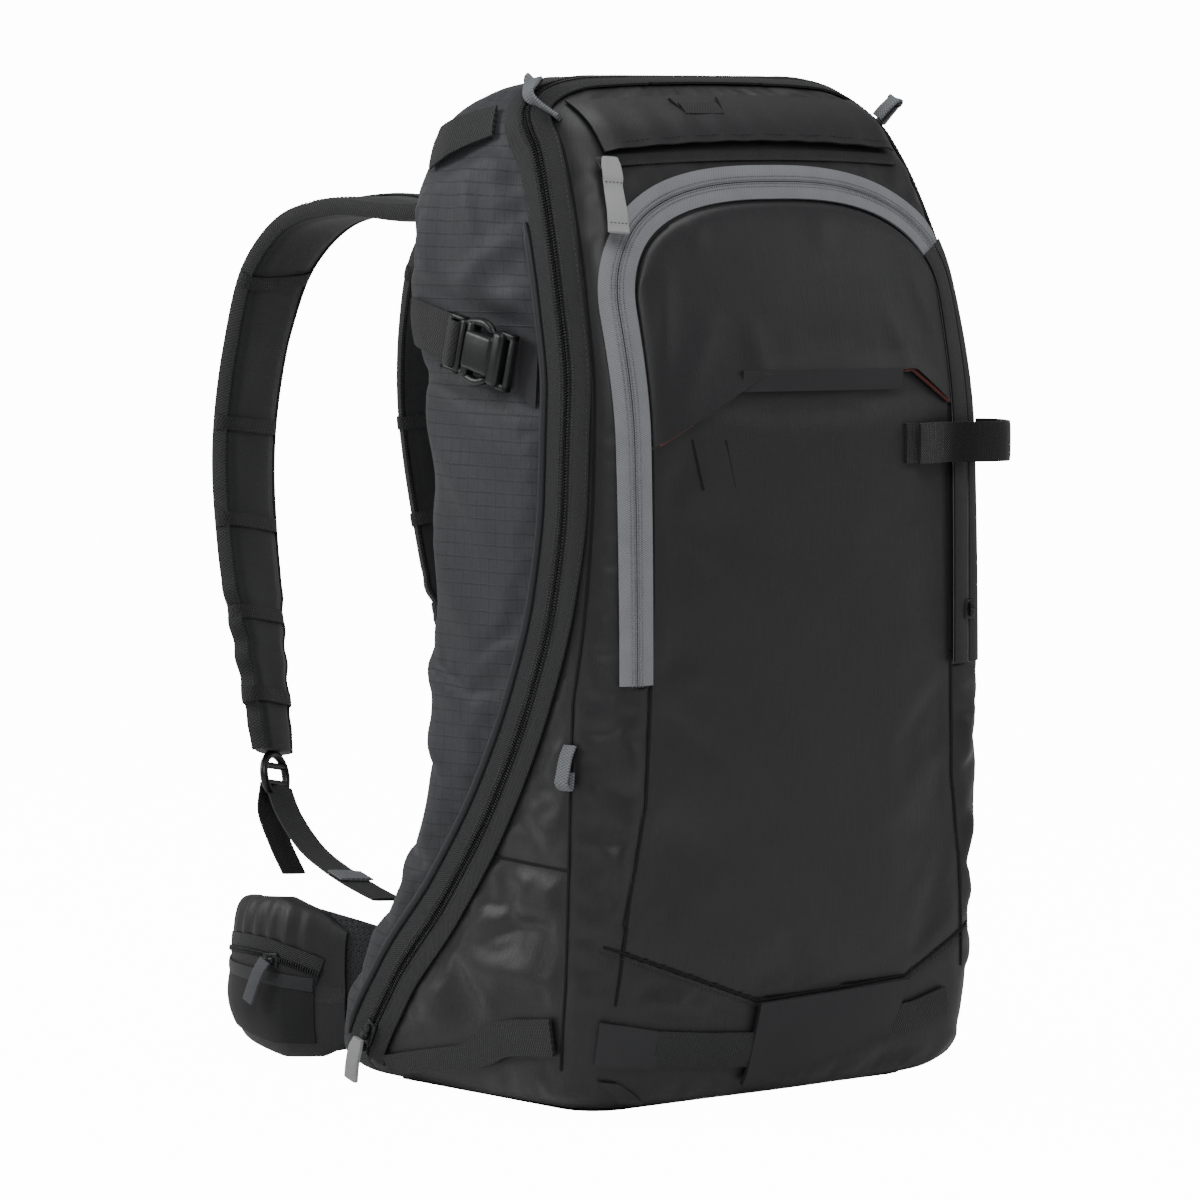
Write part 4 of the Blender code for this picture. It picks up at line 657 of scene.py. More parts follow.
def tube(points, radius, sides=10):
    """Round cord along points with closed ends."""
    points = np.asarray(points, float)
    tangent = unit(np.gradient(points, axis=0))
    across = np.cross(tangent[0], [0.3, 0.5, 0.81])
    angles = np.linspace(0, 2 * math.pi, sides, endpoint=False)
    length = run_length(points)
    radius = np.asarray(radius, float) * np.ones(len(points))
    verts = []
    uv = []
    for p, t, r, s in zip(points, tangent, radius, length):
        across = unit(across - t * np.dot(across, t))
        up = np.cross(t, across)
        verts.append(p + r * (np.outer(np.cos(angles), across) + np.outer(np.sin(angles), up)))
        uv.append(np.stack([np.full(sides, s), angles * r], -1))
    faces = [tuple(reversed(range(sides)))]
    for i in range(len(points) - 1):
        for j in range(sides):
            k = (j + 1) % sides
            faces.append((i * sides + j, i * sides + k, (i + 1) * sides + k, (i + 1) * sides + j))
    last = (len(points) - 1) * sides
    faces.append(tuple(range(last, last + sides)))
    return np.concatenate(verts), faces, np.concatenate(uv)


def together(shapes):
    """Several (verts, faces, uv) shapes as one."""
    verts = []
    faces = []
    uv = []
    start = 0
    for v, f, t in shapes:
        verts.append(v)
        faces.extend(tuple(i + start for i in face) for face in f)
        uv.append(t)
        start += len(v)
    return np.concatenate(verts), faces, np.concatenate(uv)


def mirror_x(shape):
    verts, faces, uv = shape
    return verts * [-1, 1, 1], [tuple(reversed(f)) for f in faces], uv


# ---------------------------------------------------------------- repeated items along a path
def item_tree():
    """Geometry Nodes: one small rounded item at even steps along each path, standing on its surface."""
    tree = bpy.data.node_groups.new("items_along_path", "GeometryNodeTree")
    face = tree.interface
    face.new_socket("Geometry", in_out="INPUT", socket_type="NodeSocketGeometry")
    for name in ("Spacing", "Length", "Width", "Height"):
        face.new_socket(name, in_out="INPUT", socket_type="NodeSocketFloat")
    face.new_socket("Finish", in_out="INPUT", socket_type="NodeSocketMaterial")
    face.new_socket("Geometry", in_out="OUTPUT", socket_type="NodeSocketGeometry")
    given = add_node(tree, "NodeGroupInput").node.outputs
    curve = add_node(tree, "GeometryNodeMeshToCurve", [given["Geometry"]])
    steps = add_node(tree, "GeometryNodeResampleCurve", {"Curve": curve, "Length": given["Spacing"]},
                     mode="LENGTH")
    up = add_node(tree, "GeometryNodeInputNamedAttribute", {"Name": "up"}, data_type="FLOAT_VECTOR")
    tangent = add_node(tree, "GeometryNodeInputTangent")
    turn = add_node(tree, "FunctionNodeAlignRotationToVector", {"Vector": tangent}, axis="X")
    turn = add_node(tree, "FunctionNodeAlignRotationToVector", {"Rotation": turn, "Vector": up},
                    axis="Z", pivot_axis="X")
    ball = add_node(tree, "GeometryNodeMeshUVSphere", {"Segments": 6, "Rings": 4, "Radius": 0.5})
    size = add_node(tree, "ShaderNodeCombineXYZ", [given[part] for part in ("Length", "Width", "Height")])
    items = add_node(tree, "GeometryNodeInstanceOnPoints", {"Points": steps, "Instance": ball,
                                                            "Rotation": turn, "Scale": size})
    real = add_node(tree, "GeometryNodeRealizeInstances", [items])
    smooth = add_node(tree, "GeometryNodeSetShadeSmooth", [real])
    painted = add_node(tree, "GeometryNodeSetMaterial", {"Geometry": smooth, "Material": given["Finish"]})
    result = tree.nodes.new("NodeGroupOutput")
    tree.links.new(painted, result.inputs[0])
    return tree


ITEM_TREE = item_tree()


def items(name, paths, ups, spacing, size, finish, body, slot):
    """Repeated stitches or teeth along paths, as one plain mesh; size is length, width and height."""
    guide = bpy.data.meshes.new(name)
    verts = np.concatenate(paths)
    edges = []
    start = 0
    for path in paths:
        edges += [(start + i, start + i + 1) for i in range(len(path) - 1)]
        start += len(path)
    guide.from_pydata([tuple(v) for v in verts], edges, [])
    upward = guide.attributes.new("up", "FLOAT_VECTOR", "POINT")
    upward.data.foreach_set("vector", np.concatenate(ups).ravel())
    holder = bpy.data.objects.new(name + "_guide", guide)
    bpy.context.collection.objects.link(holder)
    repeat = holder.modifiers.new("repeat", "NODES")
    repeat.node_group = ITEM_TREE
    values = {"Spacing": spacing, "Length": size[0], "Width": size[1], "Height": size[2], "Finish": finish}
    for socket in ITEM_TREE.interface.items_tree:
        if socket.in_out == "INPUT" and socket.name in values:
            repeat[socket.identifier] = values[socket.name]
    bpy.context.view_layer.update()
    plain = bpy.data.meshes.new_from_object(holder.evaluated_get(bpy.context.evaluated_depsgraph_get()))
    bpy.data.objects.remove(holder)
    made = bpy.data.objects.new(name, plain)
    plain.name = name
    bpy.context.collection.objects.link(made)
    return settle(made, body)


def beside(path, offset, lift):
    """A line on the skin at a sideways offset from a path, with its outward directions."""
    _, _, across = path_frame(path)
    foot = to_skin(path + across * offset)
    away = skin_normal(foot)
    return foot + away * lift, away


# ---------------------------------------------------------------- seams and folds of the bag
SEAM_DEPTH = 0.0011
SEAM_REACH = 0.0030
LEFT = -1
RIGHT = 1
SIDES = ((LEFT, "left"), (RIGHT, "right"))


def corner_seam(side, low=0.026, high=0.530, count=240):
    """Upright seam where the front turns into the side."""
    z = np.linspace(low, high, count)
    _, front, _ = walls(z)
    return on_side(front + 0.020 * np.clip((zip_y(z) - front) / 0.05, 0.3, 1), z, side)


def front_line(points, count=160):
    """A seam across the front through (x, z) points."""
    flat = even_steps(np.array([(x, 0.0, z) for x, z in points]), count)
    return on_front(flat[:, 0], flat[:, 2])


PANEL_SEAM = [(-0.1065, 0.357), (-0.1070, 0.276), (-0.1110, 0.170), (-0.1200, 0.117), (-0.1260, 0.062)]
CHEVRON = [(-0.1330, 0.094), (-0.031, 0.057), (0.079, 0.061), (0.131, 0.086)]
HEM = [(-0.1065, 0.359), (-0.034, 0.394), (0.078, 0.395), (0.1065, 0.376)]


def side_seam(side):
    """Level seam low on the front cup's side, from the zip to the corner."""
    z = np.full(60, 0.134)
    _, front, _ = walls(z)
    y = np.linspace(zip_y(0.134) - 0.014, front[0] + 0.020, 60)
    return on_side(y, z + 0.003 * np.linspace(1, 0, 60), side)


SEAMS = {
    "corner_left": corner_seam(LEFT), "corner_right": corner_seam(RIGHT),
    "side_left": side_seam(LEFT), "side_right": side_seam(RIGHT),
    "panel_left": front_line(PANEL_SEAM), "panel_right": front_line([(-x, z) for x, z in PANEL_SEAM]),
    "chevron": front_line(CHEVRON),
}


def nearest(points, lines):
    """Distance from each point to the nearest of some dense lines."""
    line = np.concatenate([even_steps(p, max(2, int(run_length(p)[-1] / 0.0015))) for p in lines])
    tree = kdtree.KDTree(len(line))
    for i, p in enumerate(line):
        tree.insert(p, i)
    tree.balance()
    return np.array([tree.find(p)[2] for p in points])


AROUND = 184
WALL_STEP = 0.0042


def skin_rows():
    """Heights of the skin's rows, closer together where its edges turn."""
    low, high = FLOOR + 1e-6, FLOOR + BAG_HEIGHT - 1e-6
    bottom = low + BASE_ROUND * (1 - np.cos(np.linspace(0, math.pi / 2, 7)))
    top = high - TOP_ROUND * (1 - np.cos(np.linspace(math.pi / 2, 0, 12)))
    count = int((top[0] - bottom[-1]) / WALL_STEP)
    return np.concatenate([bottom, np.linspace(bottom[-1], top[0], count)[1:-1], top])


def skin_grid():
    """Rings of points round the bag, from the middle of the back over the left side, row by row."""
    rows = skin_rows()
    angles = np.linspace(0, 2 * math.pi, 481)[:-1]
    z = np.repeat(rows, len(angles))
    a = np.tile(angles, len(rows))
    start = np.stack([np.zeros(len(z)), bag_middle(z), z], -1)
    around = np.stack([-np.sin(a), np.cos(a), np.zeros(len(a))], -1)
    rough = reach_skin(start, around).reshape(len(rows), len(angles), 3)
    grid = []
    girth = []
    for ring in rough:
        closed = np.vstack([ring, ring[:1]])
        grid.append(even_steps(closed, AROUND + 1)[:-1])
        girth.append(run_length(closed)[-1])
    return np.array(grid), np.array(girth)


def skin_mesh():
    """Verts, faces and cloth places of the whole skin, closed over the top and under the base."""
    grid, girth = skin_grid()
    rows = len(grid)
    height = run_length(grid[:, AROUND // 4])
    verts = [grid.reshape(-1, 3)]
    u = (np.arange(AROUND)[None, :] / AROUND - 0.5) * girth[rows // 2]
    uv = [np.stack([np.broadcast_to(u, (rows, AROUND)), np.broadcast_to(height[:, None], (rows, AROUND))],
                   -1).reshape(-1, 2)]
    faces = []
    for i in range(rows - 1):
        for j in range(AROUND):
            k = (j + 1) % AROUND
            faces.append((i * AROUND + j, i * AROUND + k, (i + 1) * AROUND + k, (i + 1) * AROUND + j))
    count = rows * AROUND
    for row, turn in ((0, -1), (rows - 1, 1)):
        last = row * AROUND
        centre = grid[row].mean(0)
        for share in (0.86, 0.70, 0.52, 0.34, 0.16):
            verts.append(centre + (grid[row] - centre) * share)
            uv.append(verts[-1][:, :2])
            for j in range(AROUND):
                k = (j + 1) % AROUND
                faces.append((last + j, last + k, count + k, count + j)[::turn])
            last = count
            count += AROUND
        verts.append(centre[None])
        uv.append(verts[-1][:, :2])
        for j in range(AROUND):
            faces.append((last + j, last + (j + 1) % AROUND, count)[::turn])
        count += 1
    return np.concatenate(verts), faces, np.concatenate(uv)


def ridge(points, start, end, width, height):
    """Soft fold: a rounded ridge along the line from start to end that fades at both ends."""
    start, end = np.array(start), np.array(end)
    run = end - start
    share = np.clip(((points - start) @ run) / (run @ run), 0, 1)
    off = np.linalg.norm(points - (start + share[:, None] * run), axis=1)
    return height * np.exp(-(off / width) ** 2) * np.sin(math.pi * np.clip(share, 0.02, 0.98)) ** 0.7


def hand_folds(points):
    """Folds that loose cloth takes up, as heights above the skin."""
    x, y, z = points.T
    flat = np.stack([y, z], -1)
    side = np.abs(x) > 0.085
    height = np.zeros(len(points))
    back_folds = [
        ((0.005, 0.505), (-0.020, 0.452), 0.0075, 0.0030),
        ((0.030, 0.500), (0.028, 0.440), 0.010, 0.0022),
        ((-0.044, 0.470), (0.010, 0.430), 0.007, 0.0026),
        ((-0.060, 0.440), (-0.018, 0.425), 0.006, 0.0020),
        ((0.036, 0.385), (-0.046, 0.300), 0.011, 0.0024),
        ((0.012, 0.386), (-0.062, 0.345), 0.007, 0.0018),
        ((0.028, 0.330), (-0.030, 0.245), 0.012, 0.0022),
        ((0.040, 0.245), (-0.020, 0.215), 0.009, 0.0022),
        ((0.030, 0.205), (-0.004, 0.180), 0.008, 0.0020),
        ((0.075, 0.150), (0.035, 0.118), 0.009, 0.0024),
        ((0.098, 0.100), (0.062, 0.078), 0.008, 0.0020),
        ((0.110, 0.055), (0.078, 0.040), 0.008, 0.0018)]
    front_folds = [
        ((-0.098, 0.125), (-0.020, 0.095), 0.007, 0.0026),
        ((-0.100, 0.112), (-0.052, 0.108), 0.005, 0.0022),
        ((-0.098, 0.070), (0.010, 0.080), 0.009, 0.0022),
        ((-0.099, 0.205), (-0.080, 0.180), 0.005, 0.0018),
        ((-0.100, 0.245), (-0.088, 0.215), 0.005, 0.0016),
        ((-0.099, 0.160), (-0.075, 0.150), 0.006, 0.0022),
        ((-0.100, 0.330), (-0.096, 0.290), 0.004, 0.0012)]
    for start, end, width, rise in back_folds + front_folds:
        height += side * ridge(flat, start, end, width, rise)
    flat = np.stack([np.abs(x), z], -1)
    front = y < -0.085
    for start, end, width, rise in [((0.113, 0.330), (0.112, 0.300), 0.004, 0.0016),
                                    ((0.116, 0.262), (0.113, 0.240), 0.004, 0.0016),
                                    ((0.119, 0.205), (0.122, 0.175), 0.005, 0.0020),
                                    ((0.128, 0.150), (0.124, 0.120), 0.005, 0.0020),
                                    ((0.110, 0.060), (0.060, 0.046), 0.006, 0.0026),
                                    ((0.100, 0.050), (0.040, 0.030), 0.006, 0.0020),
                                    ((0.132, 0.072), (0.126, 0.050), 0.006, 0.0022)]:
        height += front * ridge(flat, start, end, width, rise)
    return height


def in_pocket(points, reach=0.0):
    """True inside the front pocket's outline, grown by reach."""
    x, y, z = points.T
    half = POCKET_HALF_WIDTH + reach
    return (np.abs(x) < half) & (z > POCKET_FOLD) & (z < arch_top(x, -reach)) & (y < zip_y(z))


def panel_edge(z):
    """Half width of the smooth lower front panel at height z."""
    knots = sorted((b, -a) for a, b in PANEL_SEAM)
    return np.interp(z, [k[0] for k in knots], [k[1] for k in knots])


def simulate_skin(made, pinned, taut):
    """Let the cloth, cut a little larger than its frame, swell and crease between its seams."""
    group = made.vertex_groups.new(name="sewn")
    for i, w in enumerate(pinned):
        group.add([i], float(w), "REPLACE")
    tight = made.vertex_groups.new(name="taut")
    for i, w in enumerate(taut):
        tight.add([i], float(w), "REPLACE")
    cloth = made.modifiers.new("cloth", "CLOTH")
    rules = cloth.settings
    rules.quality = 5
    rules.mass = 0.25
    rules.tension_stiffness = rules.compression_stiffness = 18
    rules.shear_stiffness = 8
    rules.bending_stiffness = 0.6
    rules.vertex_group_mass = "sewn"
    rules.shrink_min = -0.035
    rules.shrink_max = -0.003
    rules.vertex_group_shrink = "taut"
    rules.use_pressure = True
    rules.uniform_pressure_force = 1.2
    rules.effector_weights.gravity = 0
    cloth.collision_settings.use_collision = False
    scene = bpy.context.scene
    for frame_number in range(1, 21):
        scene.frame_set(frame_number)
    graph = bpy.context.evaluated_depsgraph_get()
    moved = np.array([v.co for v in made.evaluated_get(graph).data.vertices])
    made.modifiers.remove(cloth)
    scene.frame_set(1)
    return moved


def subdivide(verts, faces, uv):
    """One Catmull-Clark subdivision of a mesh with its cloth places."""
    mesh = bpy.data.meshes.new("coarse")
    mesh.from_pydata([tuple(v) for v in verts], [], faces)
    place = mesh.attributes.new("place", "FLOAT_VECTOR", "POINT")
    place.data.foreach_set("vector", np.column_stack([uv, np.zeros(len(uv))]).ravel())
    holder = bpy.data.objects.new("coarse", mesh)
    bpy.context.collection.objects.link(holder)
    finer = holder.modifiers.new("finer", "SUBSURF")
    finer.levels = finer.render_levels = 1
    bpy.context.view_layer.update()
    graph = bpy.context.evaluated_depsgraph_get()
    fine = bpy.data.meshes.new_from_object(holder.evaluated_get(graph))
    bpy.data.objects.remove(holder)
    points = np.empty(len(fine.vertices) * 3)
    fine.vertices.foreach_get("co", points)
    spots = np.empty(len(fine.vertices) * 3)
    fine.attributes["place"].data.foreach_get("vector", spots)
    return points.reshape(-1, 3), [tuple(p.vertices) for p in fine.polygons], spots.reshape(-1, 3)[:, :2]


def trim_lines():
    """Middle lines and half widths of what is sewn flat on the skin."""
    lines = [(front_line([(-0.133, 0.040), (-0.034, 0.031), (0.0, 0.031)], 40), 0.0160),
             (front_line([(-0.035, 0.035), (0.072, 0.045), (0.112, 0.044)], 50), 0.0220),
             (front_line([(-0.098, 0.008), (-0.131, 0.021)], 20), 0.0100),
             (front_line([(-0.1035, 0.527), (0.1035, 0.527)], 60), 0.0200)]
    for side in (LEFT, RIGHT):
        y = np.linspace(0.044, -0.074, 40)
        lines.append((on_side(y, 0.409 + (y + 0.020) * 0.2126, side), 0.0205))
        y = np.linspace(0.058, -0.096, 50)
        z = np.interp(y, [-0.096, -0.05, -0.02, 0.058], [0.0450, 0.0400, 0.0270, 0.0130])
        lines.append((on_side(y, z, side), 0.0120))
        lines.append((on_side(np.linspace(0.042, -0.013, 20), np.linspace(0.511, 0.531, 20), side), 0.0120))
    return lines


def bag_skin():
    """The whole skin with its seams drawn in, its folds and its cloth."""
    verts, faces, uv = skin_mesh()
    x, y, z = verts.T
    away = skin_normal(verts)
    away[z > FLOOR + BAG_HEIGHT - 2e-6] = (0, 0, 1)
    away[z < FLOOR + 2e-6] = (0, 0, -1)
    zip_near = nearest(verts, [MAIN_ZIP])
    pocket_near = nearest(verts, [POCKET_ZIP])
    seam_near = nearest(verts, list(SEAMS.values()))
    flat_end = (z > FLOOR + BAG_HEIGHT - 0.002) | (z < FLOOR + 0.008)
    near_trim = (zip_near < ZIP_TAPE + 0.003) | (pocket_near < POCKET_TAPE + 0.001)
    fixed = near_trim | (seam_near < 0.0022) | flat_end
    under_foam = (y > bag_middle(z)) & (np.abs(x) < 0.100) & (z > 0.02) & (z < 0.46)
    fixed |= under_foam
    smooth_panel = (y < -0.085) & (np.abs(x) < panel_edge(z) - 0.004) & (z > 0.066) & (z < 0.50)
    quiet = np.clip((np.minimum(zip_near - ZIP_TAPE, pocket_near - POCKET_TAPE) - 0.002) / 0.010, 0, 1)
    quiet = np.where(flat_end | under_foam | smooth_panel, 0, quiet)
    held = np.clip((seam_near - 0.0015) / 0.009, 0, 1)
    for line, half in trim_lines():
        held = np.minimum(held, np.clip((nearest(verts, [line]) - half) / 0.010, 0, 1))
    held = held * held * (3 - 2 * held)
    quiet = quiet * held
    rise = hand_folds(verts) * quiet * 1.45
    crease = -SEAM_DEPTH * np.exp(-(seam_near / SEAM_REACH) ** 2)
    base = verts + away * (rise + crease)[:, None]
    mesh = bpy.data.meshes.new("skin_cloth")
    mesh.from_pydata([tuple(v) for v in base], [], faces)
    holder = bpy.data.objects.new("skin_cloth", mesh)
    bpy.context.collection.objects.link(holder)
    moved = simulate_skin(holder, fixed.astype(float), np.where(smooth_panel, 1.0, 0.0))
    bpy.data.objects.remove(holder)
    shift = moved - base
    size = np.linalg.norm(shift, axis=1, keepdims=True)
    limit = np.where(smooth_panel, 0.0012, 0.0050)[:, None]
    shift *= np.minimum(1, limit / np.maximum(size, 1e-9)) * held[:, None]
    return subdivide(base + shift, faces, uv)


SKIN_VERTS, SKIN_FACES, SKIN_UV = bag_skin()


def skin_piece(name, chosen, finish, body, thickness, replaces=(), lining=None):
    """The skin's faces whose middles are chosen, given thickness inwards."""
    faces = [f for f, keep in zip(SKIN_FACES, chosen) if keep]
    used = np.unique(np.concatenate([np.array(f) for f in faces]))
    new_index = np.full(len(SKIN_VERTS), -1)
    new_index[used] = np.arange(len(used))
    mesh = bpy.data.meshes.new(name)
    mesh.from_pydata([tuple(v) for v in SKIN_VERTS[used]], [], [tuple(new_index[list(f)]) for f in faces])
    layer = mesh.uv_layers.new(name="weave")
    corner = np.empty(len(mesh.loops), int)
    mesh.loops.foreach_get("vertex_index", corner)
    layer.data.foreach_set("uv", SKIN_UV[used][corner].ravel())
    mesh.materials.append(finish)
    mesh.materials.append(lining or LINING)
    mesh.shade_smooth()
    made = bpy.data.objects.new(name, mesh)
    bpy.context.collection.objects.link(made)
    wall = made.modifiers.new("wall", "SOLIDIFY")
    wall.thickness = thickness
    wall.offset = -1
    wall.material_offset = 1
    wall.material_offset_rim = 0
    bpy.context.view_layer.update()
    solid = bpy.data.meshes.new_from_object(made.evaluated_get(bpy.context.evaluated_depsgraph_get()))
    made.modifiers.remove(wall)
    made.data = solid
    return settle(made, body, replaces)


SKIN_MIDDLES = np.array([SKIN_VERTS[list(f)].mean(0) for f in SKIN_FACES])


def bag_cups():
    """Front cup, back cup and the pocket's door, cut from one skin."""
    x, y, z = SKIN_MIDDLES.T
    front = y < zip_y(z)
    under = z < FLOOR + 0.0005
    door = front & in_pocket(SKIN_MIDDLES)
    chevron = np.interp(x, [p[0] for p in CHEVRON], [p[1] for p in CHEVRON])
    lower = front & (y < -0.08) & (z <= POCKET_FOLD) & (z > chevron) & (np.abs(x) < panel_edge(z))
    skin_piece("front_cup", front & ~door & ~lower & ~under, NYLON, "root", 0.0022,
                      ["front_shell"])
    panel = skin_piece("front_panel", door | lower, NYLON, None, 0.0020,
                       ["pocket_door_panel"])
    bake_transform(panel)
    skin_piece("back_cup", ~front & ~under, RIPSTOP, "back_section", 0.0022, ["back_shell"])


bag_cups()


# ---------------------------------------------------------------- moulded and sewn shapes
def chunk(size, place, axes, bevel=0.001, segments=3, taper=1.0):
    """Rounded block; axes are its unit directions along its size, taper narrows its far end."""
    work = bmesh.new()
    bmesh.ops.create_cube(work, size=1.0)
    for v in work.verts:
        narrow = taper if v.co.x > 0 else 1.0
        v.co = (v.co.x * size[0], v.co.y * size[1] * narrow, v.co.z * size[2])
    bmesh.ops.bevel(work, geom=work.edges[:], offset=bevel, segments=segments, affect="EDGES", profile=0.5)
    local = np.array([v.co for v in work.verts])
    faces = [tuple(v.index for v in f.verts) for f in work.faces]
    work.verts.index_update()
    work.free()
    verts = np.array(place) + local @ np.array(axes)
    return verts, faces, local[:, :2]


def surface_axes(point, along):
    """Unit directions at a skin point: along the given way, sideways, and outwards."""
    normal = skin_normal(point)[0]
    along = np.array(along, float)
    along = unit(along - normal * np.dot(along, normal))
    return np.array([along, np.cross(normal, along), normal])


def frame_bar(size, hole, place, axes, bevel=0.0008):
    """Flat moulded ring: two long bars and two short ones round a slot."""
    long_bar = (size[0] - hole[0]) / 2
    side_bar = (size[1] - hole[1]) / 2
    parts = []
    for sign in (-1, 1):
        middle = place + axes[0] * sign * (size[0] - long_bar) / 2
        parts.append(chunk((long_bar, size[1], size[2]), middle, axes, bevel))
        middle = place + axes[1] * sign * (size[1] - side_bar) / 2
        parts.append(chunk((size[0], side_bar, size[2]), middle, axes, bevel))
    return parts


def slider_body(place, axes, size):
    """Zip slider: waisted plate, a bridge over it and a lug for the pull."""
    length, width, height = size
    bridge = place + axes[2] * height * 0.42 + np.outer(np.linspace(-0.5, 0.5, 7), axes[1]) * width * 0.6
    return [chunk((length, width, height * 0.45), place - axes[2] * height * 0.2, axes, height * 0.15,
                  taper=0.75),
            chunk((length * 0.72, width * 0.34, height * 0.5), place + axes[2] * height * 0.22, axes,
                  height * 0.2),
            tube(bridge, height * 0.15, 8)]


# ---------------------------------------------------------------- main zip
def main_zip():
    """Two black tapes, two rows of coil and their thread rows, and the piping behind them."""
    for name, body, low, high, sign in (("front", "root", 0.0006, ZIP_TAPE, 1),
                                        ("back", "back_section", -ZIP_TAPE, -0.0006, -1)):
        shape = tape(MAIN_ZIP, low, high, TRIM_LIFT, TAPE_THICKNESS, 9, 0.0005)
        make_piece("main_zip_" + name, shape, BLACK_TAPE, body,
                   replaces=["main_zip_tape_" + name])
        top = TRIM_LIFT + TAPE_THICKNESS
        line, up = beside(MAIN_ZIP, sign * 0.0019, top + 0.0006)
        items("main_zip_coil_" + name, [line], [up], 0.00165, (0.00115, 0.0027, 0.0018), COIL, body,
              "black_zip")
        rows = [beside(MAIN_ZIP, sign * 0.0047, top + 0.0004),
                beside(MAIN_ZIP, sign * 0.0136, top + 0.0001)]
        items("main_zip_thread_" + name, [rows[0][0]], [rows[0][1]], 0.00165, (0.0011, 0.0013, 0.0009),
              THREAD, body, "black_zip")
        items("main_zip_stitches_" + name, [rows[1][0]], [rows[1][1]], 0.0030, (0.0024, 0.0006, 0.0005),
              THREAD, body, "black_zip")
    _, _, across = path_frame(MAIN_ZIP)
    line = to_skin(MAIN_ZIP - across * (ZIP_TAPE + 0.0030))
    away = skin_normal(line)
    for side, name in SIDES:
        keep = (line[:, 0] * side > 0) & (line[:, 2] > 0.020) & (line[:, 2] < 0.477)
        route = even_steps(line[keep] + away[keep] * 0.0022, 260)
        cord = tube(route,
                    np.interp(np.linspace(0, 1, 260), [0, 0.02, 0.98, 1], [0.0008, 0.0022, 0.0022, 0.0008]))
        flange = tape(to_skin(route), -0.0015, 0.0042, 0.0004, 0.0009, 3)
        make_piece("piping_" + name, together([cord, flange]), PIPING, "back_section",
                   replaces=["zip_piping_" + name])


# ---------------------------------------------------------------- front pocket
UPPER_CLEAR = POCKET_TAPE + 0.0006


def pocket_zip():
    """Grey tapes round the pocket with their coil's thread rows showing through."""
    top = TRIM_LIFT + TAPE_THICKNESS
    for name, body, low, high in (("outer", "root", 0.0003, POCKET_TAPE),
                                  ("inner", "pocket_door", -POCKET_TAPE, -0.0003)):
        shape = tape(POCKET_ZIP, low, high, TRIM_LIFT, TAPE_THICKNESS, 6, 0.0004)
        make_piece("pocket_zip_" + name, shape, GREY_TAPE, body,
                   replaces=["pocket_zip_tape_" + name])
        offsets = (0.0011, 0.0030) if name == "outer" else (-0.0011, -0.0030)
        rows = [beside(POCKET_ZIP, o, top + 0.0005) for o in offsets]
        items("pocket_zip_rows_" + name, [r[0] for r in rows], [r[1] for r in rows], 0.0016,
              (0.0011, 0.0009, 0.0007), GREY_COIL, body, "grey_zip")


def zip_guards():
    """Narrow cloth guards over the pocket zip's right leg, one on each side of its coil."""
    leg = POCKET_ZIP[(POCKET_ZIP[:, 0] > 0) & (POCKET_ZIP[:, 2] < 0.462)]
    for name, body, low, high in (("outer", "root", 0.0010, POCKET_TAPE + 0.0012),
                                  ("inner", "pocket_door", -POCKET_TAPE - 0.0004, -0.0010)):
        shape = tape(leg, low, high, TRIM_LIFT + TAPE_THICKNESS + 0.0004, 0.0010, 6, 0.0006)
        make_piece("zip_guard_" + name, shape, NYLON, body)


def hem_height(x):
    return np.interp(x, [p[0] for p in HEM], [p[1] for p in HEM])


